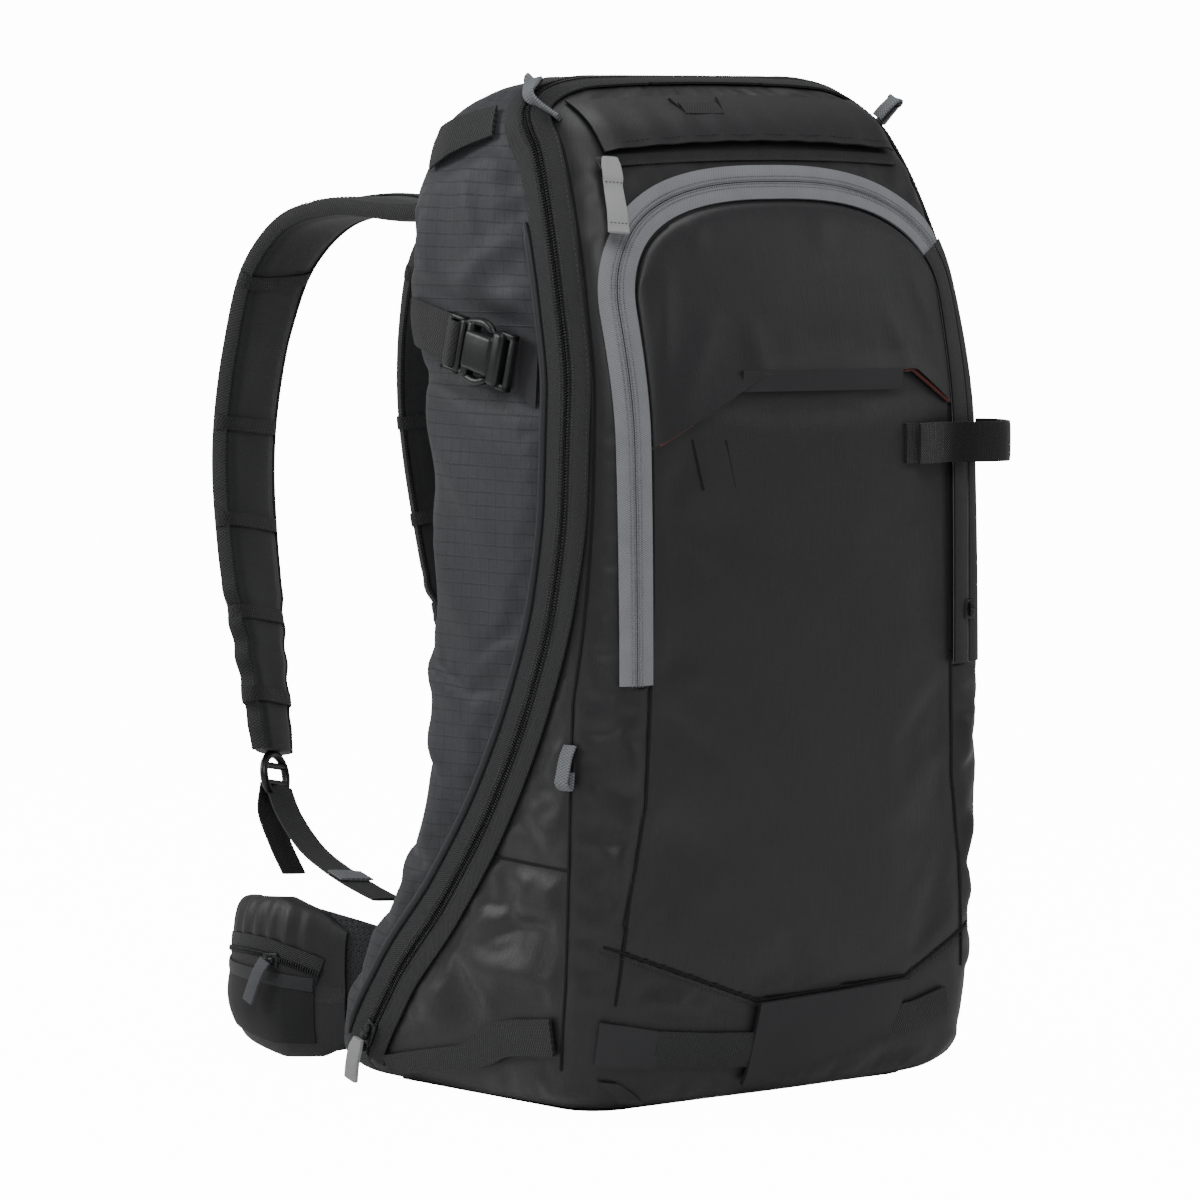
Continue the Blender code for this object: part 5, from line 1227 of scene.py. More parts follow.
def upper_panel():
    """Padded upper panel of the pocket's door, with an open hem along its lower edge."""
    half = POCKET_HALF_WIDTH - UPPER_CLEAR - 0.0004
    x = half * np.sin(np.linspace(-math.pi / 2, math.pi / 2, 81))
    share = np.linspace(0, 1, 46)
    low = hem_height(x)
    high = arch_top(x, UPPER_CLEAR)
    z = low[None] + (high - low)[None] * share[:, None]
    grid = on_front(np.broadcast_to(x, z.shape), z).reshape(46, 81, 3)
    away = skin_normal(grid.reshape(-1, 3)).reshape(grid.shape)
    inner_edge = np.minimum(high[None] - z, half - np.abs(x)[None])
    rim = np.clip(inner_edge / 0.012, 0, 1)
    swell = 0.0012 + 0.0034 * np.sqrt(rim * (2 - rim))
    hem = np.clip((z - low[None]) / 0.010, 0, 1)
    swell = swell + 0.0014 * (1 - hem) * np.clip((half - np.abs(x)) / 0.02, 0, 1)[None]
    flat = np.stack([np.broadcast_to(x, z.shape).ravel(), z.ravel()], -1)
    puckers = np.zeros(z.size)
    for start, end, width, rise in [((-0.095, 0.372), (-0.060, 0.430), 0.008, 0.0014),
                                    ((-0.034, 0.392), (-0.040, 0.425), 0.007, 0.0012),
                                    ((0.078, 0.392), (0.060, 0.430), 0.008, 0.0012),
                                    ((-0.100, 0.400), (-0.088, 0.455), 0.006, 0.0012),
                                    ((-0.060, 0.488), (-0.066, 0.460), 0.006, 0.0010),
                                    ((0.030, 0.490), (0.020, 0.455), 0.008, 0.0010),
                                    ((0.098, 0.410), (0.086, 0.450), 0.006, 0.0010),
                                    ((-0.010, 0.410), (0.050, 0.412), 0.012, -0.0012)]:
        puckers += ridge(flat, start, end, width, rise)
    swell = swell + puckers.reshape(z.shape) * rim
    uv = np.stack([grid[..., 0], grid[..., 2]], -1)
    shape = slab(grid + away * swell[..., None], grid + away * (swell - 0.0010)[..., None].clip(0.0003), uv)
    make_piece("upper_panel", shape, NYLON, "pocket_door",
               replaces=["upper_pocket_panel"])
    edge_x = np.linspace(-half + 0.001, half - 0.001, 200)
    edge = on_front(edge_x, hem_height(edge_x) + 0.0005)
    away = skin_normal(edge)
    red = []
    for low_x, high_x in ((-0.1055, -0.083), (0.070, 0.1055)):
        keep = (edge_x > low_x) & (edge_x < high_x)
        red.append(tube((edge + away * 0.0030)[keep] - [0, 0, 0.0007], 0.0011, 8))
    shape = together(red)
    make_piece("red_edge", shape, RED_EDGE, "pocket_door")
    strip_x = np.linspace(-0.049, 0.067, 60)
    strip_z = np.interp(strip_x, [-0.049, 0.067], [0.3915, 0.3900])
    rows = []
    for drop in np.linspace(0.0055, -0.0055, 6):
        rows.append(on_front(strip_x, strip_z + drop))
    grid = np.array(rows)
    away = skin_normal(grid.reshape(-1, 3)).reshape(grid.shape)
    lift = np.linspace(0.0056, 0.0030, 6)[:, None, None]
    uv = np.stack([grid[..., 0], grid[..., 2]], -1)
    shape = slab(grid + away * (lift + 0.0010), grid + away * lift, uv)
    make_piece("hem_strip", shape, LAMINATE, "pocket_door")
    # Slits of the daisy chain drawn as near-black strips: painted shade down in them.
    slits = []
    for foot, head in (((-0.075, 0.335), (-0.082, 0.362)), ((-0.054, 0.336), (-0.060, 0.361))):
        line = front_line([foot, head], 20)
        slits.append(tape(line, -0.0007, 0.0007, 0.0004, 0.0006, 3, 0.0003))
    shape = together(slits)
    make_piece("daisy_slits_painted_shade", shape, SEAM_SHADE, "pocket_door")


def pocket_trim():
    """The zip slider on the right leg and the axe keeper with its hook strip."""
    seat = on_front(POCKET_HALF_WIDTH, 0.262)[0]
    axes = surface_axes(seat, (0, 0, 1))
    middle = seat + axes[2] * (TRIM_LIFT + TAPE_THICKNESS + 0.0026)
    shape = together(slider_body(middle, axes, (0.011, 0.009, 0.0048)))
    make_piece("pocket_slider_body", shape, ACETAL, "pocket_slider",
               replaces=["pocket_zip_slider"])
    height = 0.022
    middle_z = 0.355
    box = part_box("axe_keeper_base")
    x = np.linspace(box[0].x, box[1].x, 24)
    z = np.linspace(middle_z - height / 2, middle_z + height / 2, 16)
    grid = np.stack([on_front(x, v) for v in z])
    away = skin_normal(grid.reshape(-1, 3)).reshape(grid.shape)
    uv = np.stack([grid[..., 0], grid[..., 2]], -1)
    shape = slab(grid + away * 0.0028, grid + away * 0.0010, uv)
    make_piece("keeper_base", shape, HOOK_TAPE, "pocket_door",
               replaces=["axe_keeper_base"])
    rest = on_front(np.array([0.076, 0.100]), middle_z) + [0, -0.0068, 0]
    curl = to_skin([[0.136, -0.105, middle_z]])[0]
    loop = smooth_path([rest[0], rest[1], rest[1] + [0.014, -0.009, 0], rest[1] + [0.033, -0.012, 0],
                        curl + [0.0075, -0.021, 0], curl + [0.0070, -0.010, 0],
                        curl + [0.0035, -0.0035, 0]], 90)
    shape = ribbon(loop, (0, 0, 1), height, 0.0024, 7)
    make_piece("keeper_strap", shape, HOOK_TAPE, "axe_keeper",
               replaces=["axe_keeper_strap"])


# ---------------------------------------------------------------- top of the front
def top_flap():
    """Flap over the small top zip, its long pull, and the webbing patch let into it."""
    columns = 90
    x = np.linspace(-0.1035, 0.1035, columns)
    rows = 18
    low = 0.5125 + 0.005 * (1 - (x / 0.104) ** 2)
    high = 0.5400 + 0.003 * (1 - (x / 0.104) ** 2)
    z = low[None] + (high - low)[None] * np.linspace(0, 1, rows)[:, None]
    grid = on_front(np.broadcast_to(x, z.shape), z).reshape(rows, columns, 3)
    away = skin_normal(grid.reshape(-1, 3)).reshape(grid.shape)
    share = np.linspace(0, 1, rows)[:, None]
    end = np.clip((0.1035 - np.abs(x)) / 0.006, 0, 1)[None]
    lift = 0.0008 + (0.0032 * (1 - share) ** 1.6 + 0.0010 * np.sin(share * math.pi)) * (0.45 + 0.55 * end)
    lift = lift + 0.0004 * np.sin(x * 260 + 1.0)[None] * (1 - share) * end
    uv = np.stack([grid[..., 0], grid[..., 2]], -1)
    shape = slab(grid + away * (lift + 0.0012)[..., None], grid + away * lift[..., None], uv)
    make_piece("flap", shape, NYLON, "root", replaces=["top_flap"])
    line = on_front(x[3:-3], low[3:-3] + 0.0035)
    up = skin_normal(line)
    items("flap_stitches", [line + up * 0.0052], [up], 0.0030, (0.0024, 0.0005, 0.0005), THREAD, "root",
          "black_nylon")
    gap_line = on_front(x, 0.5090 + 0.003 * (1 - (x / 0.104) ** 2))
    shape = tape(gap_line, -0.0030, 0.0036, 0.0003, 0.0010, 4)
    make_piece("small_zip_tape", shape, BLACK_TAPE, "root")
    patch = on_front(np.linspace(-0.040, -0.014, 14), 0.5345)
    shape = tape(patch, -0.0045, 0.0040, 0.0030, 0.0012, 5)
    make_piece("patch_webbing", shape, BLACK_WEB, "root")
    # Seam round the webbing patch drawn as a near-black strip: painted shade in its fold.
    cuts = []
    for points in ([(-0.0430, 0.5400), (-0.0385, 0.5285), (-0.0160, 0.5290), (-0.0100, 0.5405)],):
        cuts.append(tape(front_line(points, 60), -0.0006, 0.0006, 0.0030, 0.0006, 3, 0.0003))
    shape = together(cuts)
    make_piece("patch_seam_painted_shade", shape, SEAM_SHADE, "root")

    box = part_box("goggle_zip_slider")
    seat = np.array((box[0] + box[1]) / 2)
    axes = surface_axes(to_skin([seat])[0], (1, 0, 0))
    shape = together(slider_body(seat, axes, (0.011, 0.008, 0.0044)))
    make_piece("goggle_slider_body", shape, ACETAL, "goggle_slider",
               replaces=["goggle_zip_slider"])
    normal = axes[2]
    hinge = seat + normal * 0.0042
    foot = hinge + np.array([-0.012, -0.022, -0.040])
    along = unit(foot - hinge)
    path = smooth_path([hinge, hinge + along * 0.012 + normal * 0.0014,
                        hinge + along * 0.018 + normal * 0.0002,
                        hinge + along * 0.034 + normal * 0.0012, hinge + along * 0.0462], 60)
    across = np.cross(along, normal)
    width = np.interp(np.linspace(0, 1, 60), [0, 0.1, 0.3, 0.38, 0.9, 1.0],
                      [0.0085, 0.0105, 0.0110, 0.0102, 0.0112, 0.0116])
    shape = ribbon(path, across, width, 0.0024, 7)
    make_piece("goggle_pull_tab", shape, PULL_CLOTH, "goggle_pull",
               replaces=["goggle_zip_pull"])
    stitch = [np.array([path[k] - across * 0.0042 - normal * -0.0014,
                        path[k] + across * 0.0042 + normal * 0.0014])
              for k in (21, 53)]
    items("goggle_pull_stitches", stitch, [np.tile(normal, (2, 1))] * 2, 0.0017, (0.0013, 0.0005, 0.0005),
          THREAD, "goggle_pull", "pull_fabric")


def corner_loops():
    """Grey webbing tabs in the top corners: the left one folded over the zip, the right standing out."""
    for side, name in SIDES:
        seat = to_skin([[side * 0.109, -0.052, 0.527]])[0]
        normal = skin_normal(seat)[0]
        out = seat + normal * 0.0030
        if side < 0:
            zip_spot = to_skin([[-0.1115, -0.036, 0.536]])[0]
            head = to_skin([[-0.1040, -0.024, 0.545]])[0]
            lift = skin_normal(zip_spot)[0]
            path = smooth_path([seat + normal * 0.0012, zip_spot + lift * 0.0075,
                                head + skin_normal(head)[0] * 0.0060 + [0, 0, 0.001],
                                head + skin_normal(head)[0] * 0.0030 + [0.004, 0.006, 0.000]], 44)
            shape = ribbon(path, (0.35, 1, 0.1), 0.0105, 0.0022, 6)
        else:
            path = smooth_path([out, out + [0.0045, -0.003, 0.006], out + [0.0105, -0.0035, 0.0098],
                                out + [0.0125, -0.001, 0.0070], out + [0.0080, 0.001, 0.0010],
                                out + [0.0030, 0.0015, -0.0040]], 60)
            shape = ribbon(path, (0.2, 1, 0.2), 0.0100, 0.0018, 6)
        make_piece("corner_tab_" + name, shape, GREY_WEB, "root",
                   replaces=["corner_loop_" + name])
        start = on_side(0.040, 0.512, side)[0]
        middle = on_side(0.008, 0.5245, side)[0]
        end = on_side(-0.0115, 0.5300, side)[0]
        raised = [start + skin_normal(start)[0] * 0.0016,
                  (start + middle) / 2 + skin_normal(middle)[0] * 0.0060,
                  middle + skin_normal(middle)[0] * 0.0040, end + skin_normal(end)[0] * 0.0018]
        path = smooth_path(raised, 60)
        tangent = unit(np.gradient(path, axis=0))
        across = np.cross(tangent, skin_normal(to_skin(path)))
        shape = ribbon(path, across, 0.0190, 0.0018, 8, crown=0.0003)
        make_piece("corner_web_" + name, shape, BLACK_WEB, "back_section",
                   replaces=["corner_webbing_" + name])


# ---------------------------------------------------------------- seams
def seam_lines():
    """Near-black strips down in the seams, painted shade of each fold over its sunk thread, and rows of
    stitches beside some of them.
    """
    shapes = []
    rows = []
    ups = []
    for name, line in SEAMS.items():
        if name.startswith("panel"):
            continue
        # Each seam gets a near-black strip a little below the skin: painted shade of its fold.
        shapes.append(tape(line, -0.0007, 0.0007, -SEAM_DEPTH * 0.6, 0.0005, 3, 0.0002))
        if name in ("chevron",):
            beside_line, away = beside(line, 0.0032, 0.0002)
            rows.append(beside_line)
            ups.append(away)
    shape = together(shapes)
    make_piece("seam_painted_shade", shape, SEAM_SHADE, "root")
    items("seam_stitches", rows, ups, 0.0030, (0.0023, 0.0005, 0.0005), THREAD, "root", "black_nylon")
    upper = []
    lower = []
    for name in ("panel_left", "panel_right"):
        line = SEAMS[name]
        above = line[line[:, 2] > POCKET_FOLD + 0.006]
        below = line[line[:, 2] <= POCKET_FOLD + 0.006]
        # The same painted seam shade, split where the pocket's door opens.
        upper.append(tape(above, -0.0007, 0.0007, -SEAM_DEPTH * 0.6, 0.0005, 3, 0.0002))
        lower.append(tape(below, -0.0008, 0.0008, -SEAM_DEPTH * 0.6, 0.0005, 3, 0.0002))
    for name, shapes, body in (("upper", upper, "pocket_door"), ("lower", lower, "root")):
        shape = together(shapes)
        make_piece("panel_seam_painted_shade_" + name, shape, SEAM_SHADE, body)


# ---------------------------------------------------------------- foot of the bag
def flat_patch(name, corners, finish, lift=0.0012, thickness=0.0010, rows=14, columns=30, bow=0.0,
               replaces=()):
    """Four-cornered patch on the front, given its corners from the lower left round to the upper left."""
    a, b, c, d = (np.array(p) for p in corners)
    u = np.linspace(0, 1, columns)[None, :, None]
    v = np.linspace(0, 1, rows)[:, None, None]
    flat = (a * (1 - u) + b * u) * (1 - v) + (d * (1 - u) + c * u) * v
    grid = on_front(flat[..., 0], flat[..., 1]).reshape(rows, columns, 3)
    away = skin_normal(grid.reshape(-1, 3)).reshape(grid.shape)
    rise = lift + bow * (np.sin(math.pi * u) * np.sin(math.pi * v))
    shape = slab(grid + away * (rise + thickness), grid + away * np.maximum(lift * 0.5, 0.0002), flat)
    return make_piece(name, shape, finish, "root", replaces=replaces)


def foot_trim():
    """Ski-carry webbing, its tabs, the tough centre panel and the straps low on the sides."""
    flat_patch("centre_panel", [(-0.0380, 0.0130), (0.0660, 0.0300), (0.0790, 0.0600), (-0.0320, 0.0565)],
               LAMINATE, 0.0026, 0.0012, bow=0.0020)
    line = front_line([(-0.100, 0.0375), (-0.070, 0.0340), (-0.034, 0.0310), (0.000, 0.0310)], 60)
    left = tape(line, -0.0095, 0.0095, 0.0012, 0.0016, 7, 0.0008)
    line = front_line([(0.060, 0.0370), (0.085, 0.0380), (0.112, 0.0440)], 40)
    right = tape(line, -0.0085, 0.0085, 0.0010, 0.0016, 7, 0.0006)
    shape = together([left, right])
    make_piece("ski_loop", shape, BLACK_WEB, "root", replaces=["ski_loop_webbing"])
    flat_patch("foot_tab_left",
               [(-0.1330, 0.0300), (-0.0990, 0.0265), (-0.0990, 0.0470), (-0.1330, 0.0540)],
               LAMINATE, 0.0022, 0.0012)
    flat_patch("foot_tab_low", [(-0.1150, 0.0095), (-0.0980, 0.0070), (-0.1210, 0.0200), (-0.1310, 0.0215)],
               LAMINATE, 0.0012, 0.0010)
    for side, name in SIDES:
        y = np.linspace(0.058, -0.096, 90)
        z = np.interp(y, [-0.096, -0.05, -0.02, 0.058], [0.0450, 0.0400, 0.0270, 0.0130])
        route = smooth_path(on_side(y, z, side)[::6], 90)
        share = np.linspace(0, 1, 90)
        _, _, across = path_frame(route)
        width = np.interp(share, [0, 0.45, 0.62, 1], [0.0055, 0.0060, 0.0095, 0.0100])
        columns = []
        for column in np.linspace(-1, 1, 7):
            foot = to_skin(route + across * (width * column)[:, None])
            columns.append(foot)
        grid = np.stack(columns, 1)
        away = skin_normal(grid.reshape(-1, 3)).reshape(grid.shape)
        length = run_length(route)
        uv = np.stack([np.repeat(length[:, None], 7, 1), width[:, None] * np.linspace(-1, 1, 7)[None]], -1)
        shape = slab(grid + away * 0.0034, grid + away * 0.0014, uv)
        make_piece("side_web_" + name, shape, BLACK_WEB, "root",
                   replaces=["side_webbing_" + name])
    seat = SEAMS["corner_left"][np.argmin(np.abs(SEAMS["corner_left"][:, 2] - 0.200))]
    normal = skin_normal(seat)[0]
    loop = smooth_path([seat + normal * 0.0005, seat + normal * 0.004 + [0, 0, -0.006],
                        seat + normal * 0.0055 + [-0.001, 0, -0.015],
                        seat + normal * 0.0065 + [-0.001, 0, -0.020],
                        seat + normal * 0.0035 + [0, 0, -0.023], seat + normal * 0.0020 + [0, 0, -0.014]],
                        50)
    shape = ribbon(loop, np.cross(normal, [0, 0, 1.0]), 0.0085, 0.0016, 6)
    make_piece("seam_loop", shape, GREY_WEB, "root")


def main_slider():
    """Slider at the foot of the main zip and its cloth pull."""
    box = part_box("main_zip_slider")
    seat = np.array((box[0] + box[1]) / 2)
    low, high = 0.030, 0.041
    foot = on_side(zip_y(low), low, LEFT)[0]
    head = on_side(zip_y(high), high, LEFT)[0]
    axes = surface_axes(foot, head - foot)
    shape = together(slider_body(seat, axes, (0.014, 0.011, 0.0052)))
    make_piece("main_slider_body", shape, ACETAL, "main_slider",
               replaces=["main_zip_slider"])
    hinge = seat + axes[2] * 0.0046 - axes[0] * 0.004
    down = unit(np.array([0, 0.3, -1.0]))
    path = smooth_path([hinge, hinge + down * 0.008 + axes[2] * 0.0012,
                        hinge + down * 0.016 + axes[2] * 0.0010, hinge + down * 0.0245], 40)
    width = np.interp(np.linspace(0, 1, 40), [0, 0.25, 1], [0.0070, 0.0100, 0.0105])
    shape = ribbon(path, (0, 1, 0.3), width, 0.0030, 7)
    make_piece("main_pull_tab", shape, PULL_CLOTH, "main_pull",
               replaces=["main_zip_pull"])


# ---------------------------------------------------------------- side compression
def side_buckles():
    """Side-release buckles with their webbing and their sewn tabs."""
    tilt = math.radians(12)
    run_way = np.array([0.0, -math.cos(tilt), -math.sin(tilt)])
    middle_y = -0.020
    height = 0.409
    for side, name in SIDES:
        seat = on_side(middle_y, height, side)[0]
        axes = surface_axes(seat, run_way)
        run, across, normal = axes
        lift = 0.0010 + 0.0016 + 0.0025 + 0.00475
        middle = seat + normal * lift
        parts = [chunk((0.0245, 0.0215, 0.0090), middle + run * 0.0125, axes, 0.0028, 4),
                 chunk((0.0085, 0.0290, 0.0078), middle + run * 0.0275, axes, 0.0022, 3),
                 chunk((0.0050, 0.0300, 0.0070), middle + run * 0.0030, axes, 0.0016, 3)]
        parts += frame_bar((0.0120, 0.0310, 0.0042), (0.0050, 0.0240),
                           middle + run * 0.0330 - normal * 0.0010, axes)
        shape = together(parts)
        make_piece("socket_" + name, shape, ACETAL, "back_section",
                   replaces=["buckle_socket_" + name])
        arms = []
        for sign in (-1, 1):
            arm = smooth_path([middle - run * 0.0040 + across * sign * 0.0125, middle + run * 0.0040
                               + across * sign * 0.0150, middle + run * 0.0130 + across * sign * 0.0158,
                               middle + run * 0.0215 + across * sign * 0.0125], 26)
            arms.append(tube(arm, np.interp(np.linspace(0, 1, 26), [0, 0.5, 0.9, 1],
                                            [0.0022, 0.0026, 0.0022, 0.0008]), 10))
        arms += frame_bar((0.0150, 0.0310, 0.0056), (0.0070, 0.0250), middle - run * 0.0100, axes, 0.0010)
        arms.append(chunk((0.0040, 0.0290, 0.0066), middle - run * 0.0035, axes, 0.0014, 3))
        shape = together(arms)
        make_piece("plug_" + name, shape, ACETAL, "buckle_" + name,
                   replaces=["buckle_plug_" + name])
        wrap = smooth_path([middle - run * 0.0060 - normal * 0.0032,
                            middle - run * 0.0070 + normal * 0.0036,
                            middle - run * 0.0110 + normal * 0.0044,
                            middle - run * 0.0160 + normal * 0.0020,
                            middle - run * 0.0185 - normal * 0.0045], 40)
        shape = ribbon(wrap, across, 0.0245, 0.0015, 6)
        make_piece("buckle_wrap_" + name, shape, BLACK_WEB, "buckle_" + name)
        reach = np.linspace(0.0440, -0.004, 50)
        route = on_side(reach, height + (reach - middle_y) * math.tan(tilt), side)
        shape = tape(route, -WEBBING / 2, WEBBING / 2, 0.0012, 0.0018, 9, 0.0002)
        make_piece("compression_web_" + name, shape, BLACK_WEB, "back_section",
                   replaces=["compression_webbing_" + name])
        reach = np.linspace(middle_y - 0.0300, float(zip_y(height)) + ZIP_TAPE + 0.0058, 30)
        middle_z = height + (reach - middle_y) * math.tan(tilt)
        spread = np.linspace(0.0120, 0.0205, 30)
        grid = np.stack([on_side(reach, middle_z + spread * v, side) for v in np.linspace(-1, 1, 14)], 1)
        away = skin_normal(grid.reshape(-1, 3)).reshape(grid.shape)
        rise = np.interp(np.linspace(0, 1, 30), [0, 0.35, 1], [0.0064, 0.0030, 0.0012])[:, None, None]
        uv = np.stack([grid[..., 1], grid[..., 2]], -1)
        shape = slab(grid + away * (rise + 0.0012), grid + away * rise, uv)
        make_piece("tab_" + name, shape, LAMINATE, "back_section",
                   replaces=["buckle_tab_" + name])


main_zip()
pocket_zip()
zip_guards()
upper_panel()
pocket_trim()
top_flap()
corner_loops()
seam_lines()
foot_trim()
main_slider()
side_buckles()


# ---------------------------------------------------------------- shoulder straps
STRAP_ROUTE = np.array([(0.052, 0.0735, 0.484), (0.053, 0.100, 0.481), (0.054, 0.132, 0.480),
                        (0.057, 0.182, 0.482),
                        (0.061, 0.226, 0.474), (0.066, 0.256, 0.448), (0.070, 0.270, 0.412),
                        (0.074, 0.277, 0.370),
                        (0.078, 0.276, 0.330), (0.081, 0.268, 0.285), (0.083, 0.257, 0.240),
                        (0.085, 0.246, 0.200), (0.087, 0.237, 0.168)])
STRAP_FOOT = np.array([(0.088, 0.233, 0.150), (0.093, 0.212, 0.132), (0.099, 0.184, 0.117),
                       (0.105, 0.152, 0.108), (0.112, 0.118, 0.102), (0.115, 0.094, 0.098)])
STRAP_THICKNESS = 0.012


def strap_axes(count):
    """Path, width direction and outward direction of the right shoulder strap."""
    path = smooth_path(STRAP_ROUTE, count)
    turn = np.radians(np.interp(np.linspace(0, 1, count), [0, 0.25, 0.5, 1], [0, 8, 22, 30]))
    across = np.stack([np.cos(turn), -np.sin(turn), np.zeros(count)], -1)
    tangent = unit(np.gradient(path, axis=0))
    across = unit(across - tangent * np.sum(across * tangent, axis=1, keepdims=True))
    away = np.cross(across, tangent)
    away = away * np.sign(away[count // 2][1])
    return path, across, away


def strap_shape():
    """Quilted strap: crowned on both faces, pinched at its bound edges, lobed low down."""
    rows = 170
    path, across, away = strap_axes(rows)
    share = np.linspace(0, 1, rows)
    width = np.interp(share, [0, 0.15, 0.8, 0.97, 1], [0.050, 0.058, 0.058, 0.040, 0.036])
    lobes = np.clip((share - 0.78) / 0.05, 0, 1) * np.clip((0.99 - share) / 0.05, 0, 1)
    width = width + 0.0030 * np.sin(share * 150) * lobes - 0.0012 * lobes
    length = run_length(path)
    outer = []
    inner = []
    uv = []
    for u in np.linspace(-1, 1, 25):
        edge = np.sqrt(max(1 - abs(u) ** 5, 0))
        crown = STRAP_THICKNESS / 2 * (0.28 + 0.72 * edge)
        channel = 0.0009 * math.exp(-((abs(u) - 0.80) / 0.05) ** 2)
        soft = 0.0005 * np.sin(length * 95 + u * 2.3) * edge + 0.0004 * np.sin(length * 41 - u * 4.0)
        side = path + across * (width / 2 * u)[:, None]
        outer.append(side + away * (crown - channel + soft)[:, None])
        inner.append(side - away * (crown - channel + soft * 0.4)[:, None])
        uv.append(np.stack([length, width / 2 * u], -1))
    return slab(np.stack(outer, 1), np.stack(inner, 1), np.stack(uv, 1)), path, across, away, width


def on_both(shape, side):
    return shape if side > 0 else mirror_x(shape)


def shoulder_straps():
    """Both straps with edge binding, keeper loops, sleeve zip, ladder lock and webbing."""
    shape, path, across, away, width = strap_shape()
    edges = []
    for sign in (-1, 1):
        line = path + across * (width / 2 * sign)[:, None]
        edges.append(ribbon(line, away, 0.0088, 0.0022, 5, 0.0004))
    length = run_length(path)
    rings = []
    for at in (0.42, 0.60, 0.72, 0.83, 0.93):
        k = int(len(path) * at)
        turn = np.linspace(0, 2 * math.pi, 40)
        flat = np.abs(np.cos(turn)) ** 0.5 * np.sign(np.cos(turn))
        tall = np.abs(np.sin(turn)) ** 0.8 * np.sign(np.sin(turn))
        loop = (path[k] + np.outer(flat, across[k]) * (width[k] / 2 + 0.0022)
                + np.outer(tall, away[k]) * (STRAP_THICKNESS / 2 + 0.0010))
        tangent = unit(path[k + 1] - path[k - 1])
        rings.append(ribbon(loop, tangent, 0.0080, 0.0012, 4))
    low = int(np.argmin(np.abs(length - 0.045)))
    high = int(np.argmin(np.abs(length - 0.150)))
    zip_line = (path + away * (STRAP_THICKNESS / 2 + 0.0008) - across * 0.016)[low:high]
    sleeve = ribbon(zip_line, across[low:high], 0.011, 0.0012, 5, 0.0003)
    foot = smooth_path(STRAP_FOOT, 70)
    run = unit(STRAP_FOOT[0] - path[-2])
    face = unit(np.cross(run, across[-1]))
    lock_axes = np.array([run, unit(np.cross(face, run)), face])
    lock_middle = path[-1] + run * (0.0120 + 0.0020)
    turn = np.linspace(0, 2 * math.pi, 49)
    ring = (lock_middle + np.outer(np.cos(turn), lock_axes[0]) * 0.0125
            + np.outer(np.sin(turn), lock_axes[1]) * 0.0150)
    oval = [tube(ring, 0.0024, 10)]
    for offset in (-0.0055, 0.0045):
        bar = lock_middle + lock_axes[0] * offset + np.outer(np.linspace(-0.0135, 0.0135, 9), lock_axes[1])
        oval.append(tube(bar, 0.0019, 8))
    web_path = np.vstack([lock_middle + run * 0.006 + face * 0.0012, foot[4:]])
    web_path = smooth_path(web_path[::6], 80)
    web = ribbon(web_path, (1, -0.25, 0), 0.0195, 0.0017, 7)
    tail = smooth_path([lock_middle + run * 0.004 - face * 0.003, lock_middle + run * 0.020 - face * 0.006,
                        lock_middle + run * 0.040 - face * 0.003 + [0, -0.004, 0],
                        lock_middle + run * 0.052 + [0, -0.010, -0.004]], 40)
    tail = ribbon(tail, (1, -0.25, 0), 0.0190, 0.0016, 6)
    tab_at = web_path[52:62]
    tab = ribbon(tab_at + [0, 0, 0.0022], (1, -0.25, 0), 0.0205, 0.0014, 5)
    rows = []
    ups = []
    for sign in (-1, 1):
        line = path + across * (width / 2 * 0.80 * sign)[:, None]
        rows.append(line + away * (STRAP_THICKNESS / 2 * 0.97))
        ups.append(away)
    for side, name in SIDES:
        body = "strap_" + name
        flip = np.array([side, 1, 1])
        pad = on_both(shape, side)
        made = make_piece("strap_pad_" + name, pad, STRAP_CLOTH, None,
                          replaces=["shoulder_strap_" + name])
        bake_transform(made)
        bind = on_both(together(edges), side)
        made = make_piece("strap_binding_" + name, bind, BLACK_WEB, None)
        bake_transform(made)
        loops = on_both(together(rings), side)
        make_piece("strap_keepers_" + name, loops, BLACK_WEB, body)
        part = on_both(sleeve, side)
        made = make_piece("strap_sleeve_zip_" + name, part, BLACK_TAPE, None)
        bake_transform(made)
        items("strap_stitches_" + name, [(r * flip)[34:160] for r in rows],
              [(u * flip)[34:160] for u in ups],
              0.0034, (0.0027, 0.0005, 0.0005), THREAD, body, "strap_fabric")
        lock = on_both(together(oval), side)
        make_piece("lock_" + name, lock, ACETAL, body,
                   replaces=["ladder_lock_" + name])
        part = on_both(together([web, tail]), side)
        make_piece("strap_web_" + name, part, BLACK_WEB, body,
                   replaces=["strap_webbing_" + name])
        part = on_both(tab, side)
        make_piece("strap_tab_" + name, part, GREY_WEB, body)


